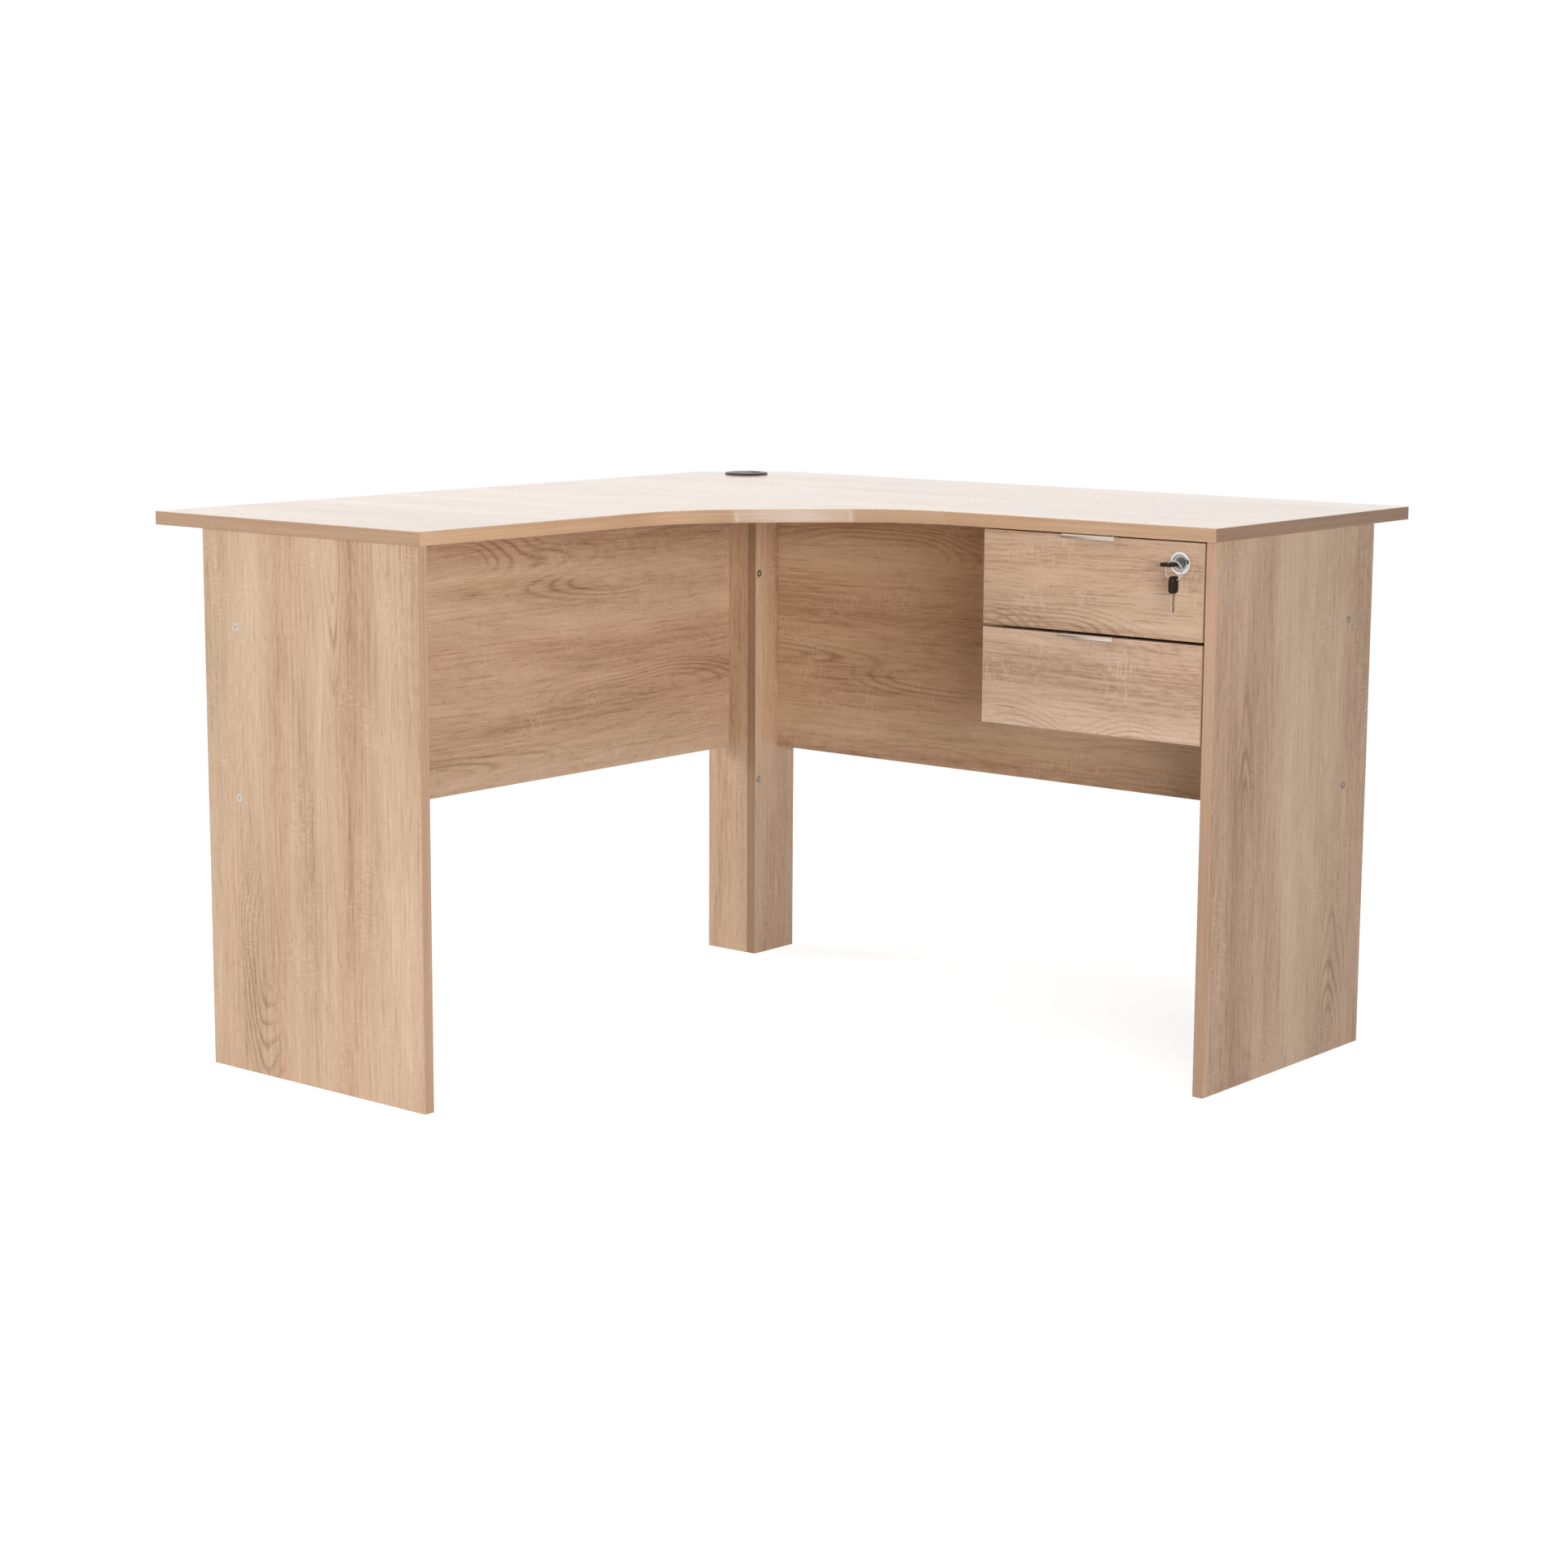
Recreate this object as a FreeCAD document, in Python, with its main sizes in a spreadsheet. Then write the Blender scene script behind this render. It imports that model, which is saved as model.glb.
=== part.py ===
# Corner office desk: an L-shaped top on two end panels and a corner post, two modesty panels, and two
# drawers hung under the right wing between a partition and the right end panel.
# Millimetres, +Z up. The origin is on the floor under the middle of the top's square; the room's walls
# are at +Y and -X, and the drawers open towards -Y.
import FreeCAD
import Part
import Sketcher
import os
import re

doc = FreeCAD.newDocument("CornerDesk")

sizes = {
    # top
    "left_wing_length": 1200,
    "right_wing_length": 1200,
    "wing_depth": 500,
    "desk_height": 735,
    "top_thickness": 18,
    "inner_cut": 220,
    "inner_radius": 200,
    "rear_cut": 100,
    # boards under the top
    "panel_thickness": 16,
    "end_overhang": 2,
    "front_setback": 6,
    "end_panel_tail": 54,
    "modesty_height": 395,
    "post_step": 53,
    "post_width": 94,
    # cable grommet
    "grommet_offset": 95,
    "grommet_hole_radius": 30,
    "grommet_flange_width": 3.5,
    "grommet_flange_height": 3,
    "grommet_sleeve_wall": 1.8,
    "grommet_sleeve_depth": 16,
    "grommet_ledge_width": 2,
    "grommet_ledge_height": 0.8,
    "grommet_play": 0.3,
    "cable_notch_width": 20,
    "cable_notch_depth": 14,
    # screws and dowels
    "fastener_play": 0.05,
    "recess_width": 1,
    "recess_share": 0.6,
    "panel_screw_radius": 3,
    "panel_screw_length": 50,
    "panel_screw_head_radius": 5,
    "panel_screw_head_height": 3,
    "panel_screw_low": 45,
    "panel_screw_high": 270,
    "post_screw_low": 275,
    "post_screw_high": 594,
    "short_screw_radius": 1.75,
    "short_screw_length": 11,
    "short_screw_head_radius": 3.2,
    "short_screw_head_height": 1.5,
    "drawer_screw_radius": 1.75,
    "drawer_screw_length": 30,
    "drawer_screw_head_radius": 3.5,
    "drawer_screw_head_height": 2,
    "dowel_radius": 3,
    "dowel_length": 30,
    "dowel_in_front": 10,
    "dowel_inset": 15,
    "dowel_spacing": 30,
    # steel angles that hold the top
    "angle_leg": 30,
    "angle_width": 16,
    "angle_sheet": 2,
    "angle_inset": 75,
    # drawer fronts
    "front_width": 339,
    "upper_front_height": 125.8,
    "lower_front_height": 128,
    "front_gap": 4,
    "front_top_gap": 2.2,
    "front_side_gap": 3,
    "partition_front_gap": 2,
    # drawer boxes
    "drawer_depth": 300,
    "drawer_rear_gap": 16,
    "drawer_board": 12,
    "drawer_side_height": 70,
    "drawer_rise": 12,
    "drawer_bottom_sheet": 3,
    "groove_depth": 5,
    "groove_rise": 8,
    "groove_play": 0.1,
    # edge pulls
    "pull_width": 82,
    "pull_sheet": 1.5,
    "pull_leg": 14,
    "pull_reach": 10,
    "pull_lip": 5.5,
    "pull_round": 0.7,
    "pull_screw_spacing": 50,
    "pull_screw_drop": 8,
    # roller runners
    "runner_gap": 12.5,
    "runner_height": 30,
    "runner_sheet": 1.2,
    "runner_side_gap": 1.8,
    "runner_wing_gap": 2.3,
    "runner_drop": 1.8,
    "runner_headroom": 3,
    "runner_ledge": 10,
    "runner_front_gap": 2,
    "runner_screw_inset": 60,
    "runner_screw_spacing": 160,
    "rail_screw_drop": 8.5,
    "roller_radius": 8,
    "roller_width": 5,
    "roller_side_gap": 0.5,
    "roller_end": 12,
    "roller_play": 0.3,
    "roller_pin_radius": 2.5,
    "roller_bore_play": 0.1,
    "roller_head_radius": 4,
    "roller_head_height": 1,
    # lock
    "lock_from_edge": 35,
    "lock_drop": 29,
    "rosette_radius": 15,
    "rosette_height": 2,
    "barrel_radius": 9.4,
    "barrel_length": 24,
    "plug_radius": 7,
    "plug_proud": 0.5,
    "plug_play": 0.1,
    "tail_radius": 4,
    "tail_length": 2.5,
    "nut_radius": 12,
    "nut_height": 4,
    "cam_length": 23,
    "cam_width": 12,
    "cam_sheet": 2,
    "cam_gap": 0.3,
    "cam_screw_radius": 1.5,
    "cam_screw_length": 5,
    "cam_screw_head_radius": 5,
    "cam_screw_head_height": 2,
    "strike_drop": 11,
    "strike_gap": 0.8,
    "strike_depth": 30,
    "strike_width": 30,
    "strike_sheet": 1.5,
    "strike_screw_spacing": 18,
    "strike_screw_inset": 20,
    # keys
    "bow_length": 22,
    "bow_width": 18,
    "bow_thickness": 4.5,
    "bow_out": 15,
    "bow_round": 5,
    "bow_slot_length": 8,
    "bow_slot_width": 4,
    "bow_slot_edge": 6,
    "blade_width": 7,
    "blade_thickness": 2,
    "blade_length": 25,
    "blade_in_bow": 10,
    "keyway_play": 0.15,
    "ring_radius": 12,
    "ring_wire_radius": 0.8,
    "ring_tilt": 145,
    "spare_hang": 0.5,
}

sheet = doc.addObject("Spreadsheet::Sheet", "Sizes")
for row, (name, size) in enumerate(sizes.items(), 1):
    sheet.set(f"A{row}", name)
    sheet.set(f"B{row}", str(size))
    sheet.setAlias(f"B{row}", name)
doc.recompute()


# Formulas are written in the sheet's own words.
def formula(text):
    return re.sub(r"[a-z_]+", lambda word: f"Sizes.{word[0]}" if word[0] in sizes else word[0], text)


def value(text):
    return float(sheet.evalExpression(formula(text)))


# Places are measured from the top's square rear corner: along the right wing, along the left wing, up.
def from_corner(right, left, up):
    return f"({right}) - right_wing_length / 2", f"left_wing_length / 2 - ({left})", up


def place(piece, right, left, up):
    for axis, text in zip("xyz", from_corner(right, left, up)):
        piece.setExpression(f"Placement.Base.{axis}", formula(text))


towards = {
    "right": FreeCAD.Vector(1, 0, 0),
    "left": FreeCAD.Vector(-1, 0, 0),
    "rear": FreeCAD.Vector(0, 1, 0),
    "front": FreeCAD.Vector(0, -1, 0),
    "up": FreeCAD.Vector(0, 0, 1),
    "down": FreeCAD.Vector(0, 0, -1),
}
opposite = {"right": "left", "left": "right"}


def turned(direction):
    return FreeCAD.Rotation(towards["up"], towards[direction])


def shift(at, direction, distance):
    right, left, up = at
    step = towards[direction]
    return (
        f"({right}) + ({distance}) * ({step.x})",
        f"({left}) - ({distance}) * ({step.y})",
        f"({up}) + ({distance}) * ({step.z})",
    )


def block(name, right, left, up):
    box = doc.addObject("Part::Box", name)
    for side, (start, end) in zip(("Length", "Width", "Height"), (right, left, up)):
        box.setExpression(side, formula(f"({end}) - ({start})"))
    place(box, right[0], left[1], up[0])
    return box


def rod(name, at, direction, radius, length):
    cylinder = doc.addObject("Part::Cylinder", name)
    cylinder.setExpression("Radius", formula(radius))
    cylinder.setExpression("Height", formula(length))
    cylinder.Placement = FreeCAD.Placement(FreeCAD.Vector(), turned(direction))
    place(cylinder, *at)
    return cylinder


def taper(name, at, direction, wide, narrow, length):
    cone = doc.addObject("Part::Cone", name)
    cone.setExpression("Radius1", formula(wide))
    cone.setExpression("Radius2", formula(narrow))
    cone.setExpression("Height", formula(length))
    cone.Placement = FreeCAD.Placement(FreeCAD.Vector(), turned(direction))
    place(cone, *at)
    return cone


def fuse(name, shapes):
    joined = doc.addObject("Part::MultiFuse", name)
    joined.Shapes = shapes
    return joined


def cut(name, base, tools):
    carved = doc.addObject("Part::Cut", name)
    carved.Base = base
    carved.Tool = tools[0] if len(tools) == 1 else fuse(f"{name}_tool", tools)
    return carved


def origin_plane(body, role):
    return next(plane for plane in body.Origin.OriginFeatures if plane.Role == role)


# A closed polygon whose corners are bound to the sheet.
def outline(body, plane, corners):
    sketch = body.newObject("Sketcher::SketchObject", f"{body.Name}_outline")
    sketch.AttachmentSupport = (origin_plane(body, plane), [""])
    sketch.MapMode = "FlatFace"
    count = len(corners)
    points = [FreeCAD.Vector(value(x), value(y), 0) for x, y in corners]
    for index, point in enumerate(points):
        sketch.addGeometry(Part.LineSegment(point, points[(index + 1) % count]))
    for index in range(count):
        sketch.addConstraint(Sketcher.Constraint("Coincident", index, 2, (index + 1) % count, 1))
    for index, corner in enumerate(corners):
        for kind, text in zip(("DistanceX", "DistanceY"), corner):
            number = sketch.addConstraint(Sketcher.Constraint(kind, -1, 1, index, 1, value(text)))
            sketch.setExpression(f"Constraints[{number}]", formula(text))
    return sketch


def padded(name, plane, corners, length):
    body = doc.addObject("PartDesign::Body", name)
    pad = body.newObject("PartDesign::Pad", f"{name}_pad")
    pad.Profile = outline(body, plane, corners)
    pad.setExpression("Length", formula(length))
    return body


def lathed(name, plane, corners):
    body = doc.addObject("PartDesign::Body", name)
    profile = outline(body, plane, corners)
    turn = body.newObject("PartDesign::Revolution", f"{name}_turn")
    turn.Profile = profile
    turn.ReferenceAxis = (profile, ["V_Axis"])
    turn.Angle = 360
    return body


# Rounds the edges that the test accepts by their two ends.
same_place = 1e-3


def rounded(body, name, radius, test):
    doc.recompute()
    base = body.Tip
    edges = [
        f"Edge{index}"
        for index, edge in enumerate(base.Shape.Edges, 1)
        if test(edge.Vertexes[0].Point, edge.Vertexes[-1].Point)
    ]
    fillet = body.newObject("PartDesign::Fillet", name)
    fillet.Base = (base, edges)
    fillet.setExpression("Radius", formula(radius))
    return body


# Every piece is kept by name; what cuts it is collected until all pieces and fasteners are placed.
pieces = {}
cutters = {}
fasteners = {}


def carve(name, *tools):
    cutters.setdefault(name, []).extend(tools)


screw_kinds = {"panel": True, "drawer": True, "short": False}


# One screw driven from its head's seat: it bores each piece that it passes through.
def screw(group, kind, at, direction, through):
    places = fasteners.setdefault(group, (kind, []))[1]
    places.append((at, direction))
    label = f"{group}_{len(places)}"
    radius = f"{kind}_screw_radius + fastener_play"
    tools = [rod(f"{label}_bore", at, direction, radius, f"{kind}_screw_length + fastener_play")]
    if screw_kinds[kind]:
        wide = f"{kind}_screw_head_radius + fastener_play"
        tools.append(taper(f"{label}_sink", at, direction, wide, radius, f"{kind}_screw_head_height"))
    for name in through:
        carve(name, *tools)


def screw_solid(kind):
    radius, length = value(f"{kind}_screw_radius"), value(f"{kind}_screw_length")
    head_radius, head_height = value(f"{kind}_screw_head_radius"), value(f"{kind}_screw_head_height")
    recess_width = value("recess_width")
    shank = Part.makeCylinder(radius, length)
    if screw_kinds[kind]:
        top = 0
        head = Part.makeCone(head_radius, radius, head_height)
    else:
        top = -head_height
        head = Part.makeCylinder(head_radius, head_height, FreeCAD.Vector(0, 0, top))
    reach = head_radius * value("recess_share")
    corner = FreeCAD.Vector(-reach, -recess_width / 2, top)
    recess = Part.makeBox(2 * reach, recess_width, recess_width, corner)
    crossed = recess.copy()
    crossed.rotate(FreeCAD.Vector(), towards["up"], 90)
    return shank.fuse(head).cut(recess.fuse(crossed)).removeSplitter()


def placed(solid, at, rotation):
    copy = solid.copy()
    base = FreeCAD.Vector(*(value(text) for text in from_corner(*at)))
    copy.Placement = FreeCAD.Placement(base, rotation)
    return copy


# A group of identical solids in one piece of the list.
def group(name, solids):
    feature = doc.addObject("Part::Feature", f"{name}_group")
    feature.Shape = Part.makeCompound(solids)
    pieces[name] = feature


# Heights and faces that several pieces share
underside = "(desk_height - top_thickness)"
panel_front = "(wing_depth - front_setback)"
front_back = f"({panel_front} - panel_thickness)"
modesty_face = f"({front_back} - drawer_depth - drawer_rear_gap)"
modesty_rear = f"({modesty_face} - panel_thickness)"
modesty_middle = f"({modesty_rear} + panel_thickness / 2)"
modesty_bottom = f"({underside} - modesty_height)"
panel_rear = f"({modesty_rear} - end_panel_tail)"
left_outer = "(left_wing_length - end_overhang)"
left_inner = f"({left_outer} - panel_thickness)"
right_outer = "(right_wing_length - end_overhang)"
right_inner = f"({right_outer} - panel_thickness)"
post_face = f"({modesty_face} + post_step)"
post_inner = f"({post_face} - panel_thickness)"
post_rear = f"({post_face} - post_width)"
fronts_right = f"({right_inner} - front_side_gap)"
fronts_left = f"({fronts_right} - front_width)"
partition_inner = f"({fronts_left} + panel_thickness)"
upper_bottom = f"({underside} - front_top_gap - upper_front_height)"
lower_bottom = f"({upper_bottom} - front_gap - lower_front_height)"
on_floor = "0"


# Top: straight wings, a rounded 45 degree front in the corner and a cut rear corner
top_corners = [
    ("rear_cut", "0"),
    ("right_wing_length", "0"),
    ("right_wing_length", "-wing_depth"),
    ("wing_depth + inner_cut", "-wing_depth"),
    ("wing_depth", "-wing_depth - inner_cut"),
    ("wing_depth", "-left_wing_length"),
    ("0", "-left_wing_length"),
    ("0", "-rear_cut"),
]
top = padded("top_board", "XY_Plane", top_corners, "top_thickness")
place(top, "0", "0", underside)
bends = [FreeCAD.Vector(value(x), value(y), 0) for x, y in top_corners[3:5]]


def at_a_bend(start, end):
    foot = FreeCAD.Vector(start.x, start.y, 0)
    upright = abs(start.z - end.z) > same_place
    return upright and any(foot.distanceToPoint(bend) < same_place for bend in bends)


rounded(top, "top_front_bends", "inner_radius", at_a_bend)
pieces["desk_top"] = top
grommet_at = ("grommet_offset", "grommet_offset", "desk_height")
carve("desk_top", rod("grommet_hole", grommet_at, "down", "grommet_hole_radius", "top_thickness"))

# Boards under the top
pieces["left_end_panel"] = block(
    "left_end", (panel_rear, panel_front), (left_inner, left_outer), (on_floor, underside)
)
pieces["right_end_panel"] = block(
    "right_end", (right_inner, right_outer), (panel_rear, panel_front), (on_floor, underside)
)
pieces["left_modesty_panel"] = block(
    "left_modesty", (modesty_rear, modesty_face), (post_face, left_inner), (modesty_bottom, underside)
)
pieces["right_modesty_panel"] = block(
    "right_modesty", (post_face, right_inner), (modesty_rear, modesty_face), (modesty_bottom, underside)
)
pieces["post_left_board"] = block(
    "post_left", (post_rear, post_inner), (post_inner, post_face), (on_floor, underside)
)
pieces["post_right_board"] = block(
    "post_right", (post_inner, post_face), (post_rear, post_face), (on_floor, underside)
)
pieces["drawer_partition"] = block(
    "partition",
    (fronts_left, partition_inner),
    (modesty_face, f"{front_back} - partition_front_gap"),
    (lower_bottom, underside),
)

# Long screws: end panels into modesty panels, post boards into each other and into the modesty panels
for rise in ("panel_screw_low", "panel_screw_high"):
    height = f"{modesty_bottom} + {rise}"
    for seat, direction, board, modesty in (
        ((modesty_middle, left_outer, height), "rear", "left_end_panel", "left_modesty_panel"),
        ((right_outer, modesty_middle, height), "left", "right_end_panel", "right_modesty_panel"),
        ((modesty_middle, post_inner, height), "front", "post_left_board", "left_modesty_panel"),
        ((post_inner, modesty_middle, height), "right", "post_right_board", "right_modesty_panel"),
    ):
        screw("panel_screws", "panel", seat, direction, [board, modesty])
for height in ("post_screw_low", "post_screw_high"):
    lap = f"({post_face} - panel_thickness / 2)"
    screw("panel_screws", "panel", (post_face, lap, height), "left", ["post_right_board", "post_left_board"])
for height in (f"{lower_bottom} + panel_screw_low", f"{underside} - panel_screw_low"):
    seat = (f"{fronts_left} + panel_thickness / 2", modesty_rear, height)
    screw("panel_screws", "panel", seat, "front", ["right_modesty_panel", "drawer_partition"])


# Steel angles between the top and the boards: each is set on a board's face, some way along it
def angle_solid():
    leg, width, thick = value("angle_leg"), value("angle_width"), value("angle_sheet")
    upright = Part.makeBox(thick, width, leg, FreeCAD.Vector(0, -width / 2, -leg))
    flat = Part.makeBox(leg, width, thick, FreeCAD.Vector(0, -width / 2, -thick))
    bore = value("short_screw_radius + fastener_play")
    middle = leg / 2 + thick / 2
    side_hole = Part.makeCylinder(bore, thick, FreeCAD.Vector(0, 0, -middle), towards["right"])
    top_hole = Part.makeCylinder(bore, thick, FreeCAD.Vector(middle, 0, -thick))
    return upright.fuse(flat).removeSplitter().cut(side_hole).cut(top_hole)


angle_turn = {"right": 0, "rear": 90, "left": 180, "front": 270}
away = {"right": "left", "left": "right", "rear": "front", "front": "rear"}
angles = []


def angle(at, faces, board):
    rotation = FreeCAD.Rotation(towards["up"], angle_turn[faces])
    angles.append(placed(angle_solid(), at, rotation))
    middle = "(angle_leg / 2 + angle_sheet / 2)"
    below = shift(shift(at, faces, middle), "down", "angle_sheet")
    beside = shift(shift(at, faces, "angle_sheet"), "down", middle)
    screw("short_screws", "short", below, "up", ["desk_top"])
    screw("short_screws", "short", beside, away[faces], [board])


for along in (f"{post_face} + angle_inset", f"{panel_front} - angle_inset"):
    angle((along, left_inner, underside), "rear", "left_end_panel")
    angle((right_inner, along, underside), "left", "right_end_panel")
    angle((fronts_left, along, underside), "left", "drawer_partition")
for along in (f"{post_face} + angle_inset", f"{panel_front} + angle_inset"):
    angle((modesty_face, along, underside), "right", "left_modesty_panel")
    angle((along, modesty_face, underside), "front", "right_modesty_panel")
group("top_angles", angles)

# Cable grommet: a flanged sleeve in the top, and a notched cap that turns on its inner ledge
flange = "grommet_hole_radius + grommet_flange_width"
sleeve = "(grommet_hole_radius - fastener_play)"
bore = f"({sleeve} - grommet_sleeve_wall)"
liner = lathed(
    "liner",
    "XZ_Plane",
    [
        (bore, "-grommet_sleeve_depth"),
        (sleeve, "-grommet_sleeve_depth"),
        (sleeve, "0"),
        (flange, "0"),
        (flange, "grommet_flange_height / 2"),
        (f"{flange} - grommet_flange_height / 2", "grommet_flange_height"),
        (bore, "grommet_flange_height"),
        (bore, "grommet_ledge_height"),
        (f"{bore} - grommet_ledge_width", "grommet_ledge_height"),
        (f"{bore} - grommet_ledge_width", "0"),
        (bore, "0"),
    ],
)
place(liner, *grommet_at)
pieces["grommet_liner"] = liner
cap_at = shift(grommet_at, "up", "grommet_ledge_height")
cap_radius = f"({bore} - grommet_play)"
cap_rear = f"(grommet_offset - {cap_radius})"
cap_height = "grommet_flange_height - grommet_ledge_height"
pieces["grommet_cap"] = rod("cap", cap_at, "up", cap_radius, cap_height)
carve(
    "grommet_cap",
    block(
        "cable_notch",
        ("grommet_offset - cable_notch_width / 2", "grommet_offset + cable_notch_width / 2"),
        (f"{cap_rear} - grommet_play", f"{cap_rear} + cable_notch_depth"),
        ("desk_height", "desk_height + 2 * grommet_flange_height"),
    ),
)

# Runner sections, across from the drawer side's outer face and up from the fixed rail's underside
flange_edge = "runner_sheet + runner_side_gap"
fixed_section = [
    ("runner_gap", "0"),
    ("runner_gap", "runner_height"),
    (flange_edge, "runner_height"),
    (flange_edge, "runner_height - runner_sheet"),
    ("runner_gap - runner_sheet", "runner_height - runner_sheet"),
    ("runner_gap - runner_sheet", "runner_sheet"),
    (flange_edge, "runner_sheet"),
    (flange_edge, "0"),
]
wing_top = "(runner_height - runner_headroom)"
wing_edge = "runner_gap - runner_sheet - runner_wing_gap"
moving_section = [
    ("-runner_ledge", "runner_drop"),
    ("runner_sheet", "runner_drop"),
    ("runner_sheet", f"{wing_top} - runner_sheet"),
    (wing_edge, f"{wing_top} - runner_sheet"),
    (wing_edge, wing_top),
    ("0", wing_top),
    ("0", "runner_drop + runner_sheet"),
    ("-runner_ledge", "runner_drop + runner_sheet"),
]
front_roller_rise = f"({wing_top} - runner_sheet - roller_play - roller_radius)"
rear_roller_rise = "(runner_sheet + roller_play + roller_radius)"
roller_end_face = "(runner_gap - runner_sheet - roller_side_gap - roller_head_height - roller_play)"
roller_start = f"({roller_end_face} - roller_width)"
groove_top_rise = "(groove_rise + drawer_bottom_sheet + 2 * groove_play)"


def mirrored(section, outward):
    sign = "-" if outward == "left" else ""
    return [(f"{sign}({across})", up) for across, up in section]


def roller(name, at, outward):
    start = shift(at, outward, roller_start)
    wheel = rod(f"{name}_wheel", start, outward, "roller_radius", "roller_width")
    hole = rod(f"{name}_hole", start, outward, "roller_pin_radius + roller_bore_play", "roller_width")
    pieces[name] = cut(f"{name}_bored", wheel, [hole])


# The fixed rail carries a roller near its front end; the moving rail carries one near its rear end.
def runner(drawer, side, face, box_bottom, board):
    outward = side
    inward = opposite[side]
    rail_front = f"({front_back} - runner_front_gap)"
    rail_rear = f"({rail_front} - drawer_depth)"
    box_rear = f"({front_back} - drawer_depth)"
    track = f"({box_bottom} - runner_drop - runner_sheet)"

    fixed = padded(f"{drawer}_{side}_rail", "XZ_Plane", mirrored(fixed_section, outward), "drawer_depth")
    place(fixed, face, rail_rear, track)
    axle = (face, f"{rail_front} - roller_end", f"{track} + {front_roller_rise}")
    web = shift(axle, outward, "runner_gap - runner_sheet")
    head = shift(axle, outward, f"{roller_start} - roller_play - roller_head_height")
    pin_length = f"runner_gap - runner_sheet - {roller_start} + roller_play"
    name = f"{drawer}_{side}_fixed_runner"
    pin = rod(f"{name}_pin", web, inward, "roller_pin_radius", pin_length)
    rivet = rod(f"{name}_rivet", head, outward, "roller_head_radius", "roller_head_height")
    pieces[name] = fuse(f"{name}_fused", [fixed, pin, rivet])
    roller(f"{drawer}_{side}_front_roller", axle, outward)
    for along in ("runner_screw_inset", "runner_screw_inset + runner_screw_spacing"):
        seat = (face, f"{rail_rear} + {along}", f"{track} + runner_height - rail_screw_drop")
        seat = shift(seat, outward, "runner_gap - runner_sheet")
        screw("short_screws", "short", seat, outward, [name, board])

    moving = padded(f"{drawer}_{side}_slide", "XZ_Plane", mirrored(moving_section, outward), "drawer_depth")
    place(moving, face, box_rear, track)
    axle = (face, f"{box_rear} + roller_end", f"{track} + {rear_roller_rise}")
    leg = shift(axle, outward, "runner_sheet")
    head = shift(axle, outward, f"{roller_end_face} + roller_play")
    name = f"{drawer}_drawer_{side}_runner"
    pin_length = f"{roller_end_face} + roller_play - runner_sheet"
    pin = rod(f"{name}_pin", leg, outward, "roller_pin_radius", pin_length)
    rivet = rod(f"{name}_rivet", head, outward, "roller_head_radius", "roller_head_height")
    pieces[name] = fuse(f"{name}_fused", [moving, pin, rivet])
    roller(f"{drawer}_{side}_rear_roller", axle, outward)
    midway = f"({box_bottom} + {groove_top_rise} + {track} + {wing_top} - runner_sheet) / 2"
    for along in ("runner_screw_inset", "runner_screw_inset + runner_screw_spacing"):
        seat = (face, f"{box_rear} + {along}", midway)
        seat = shift(seat, outward, "runner_sheet")
        through = [name, f"{drawer}_drawer_{side}_side"]
        screw(f"{drawer}_drawer_short_screws", "short", seat, inward, through)


def pull(drawer, front_top):
    face = "(panel_thickness + pull_reach)"
    section = [
        ("pull_sheet", "-pull_leg"),
        ("pull_sheet", "pull_sheet"),
        (f"-{face}", "pull_sheet"),
        (f"-{face}", "pull_sheet - pull_lip"),
        (f"pull_sheet - {face}", "pull_sheet - pull_lip"),
        (f"pull_sheet - {face}", "0"),
        ("0", "0"),
        ("0", "-pull_leg"),
    ]
    middle = f"({fronts_left} + front_width / 2)"
    body = padded(f"{drawer}_pull_profile", "YZ_Plane", section, "pull_width")
    place(body, f"{middle} - pull_width / 2", front_back, front_top)
    reach = value(face)

    def on_the_lip(start, end):
        return abs(start.x - end.x) > same_place and abs(start.y + reach) < same_place

    rounded(body, f"{drawer}_pull_edges", "pull_round", on_the_lip)
    name = f"{drawer}_drawer_pull"
    pieces[name] = body
    for side in ("-", "+"):
        across = f"{middle} {side} pull_screw_spacing / 2"
        seat = (across, f"{front_back} - pull_sheet", f"{front_top} - pull_screw_drop")
        screw(f"{drawer}_drawer_short_screws", "short", seat, "front", [name, f"{drawer}_drawer_front"])


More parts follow.
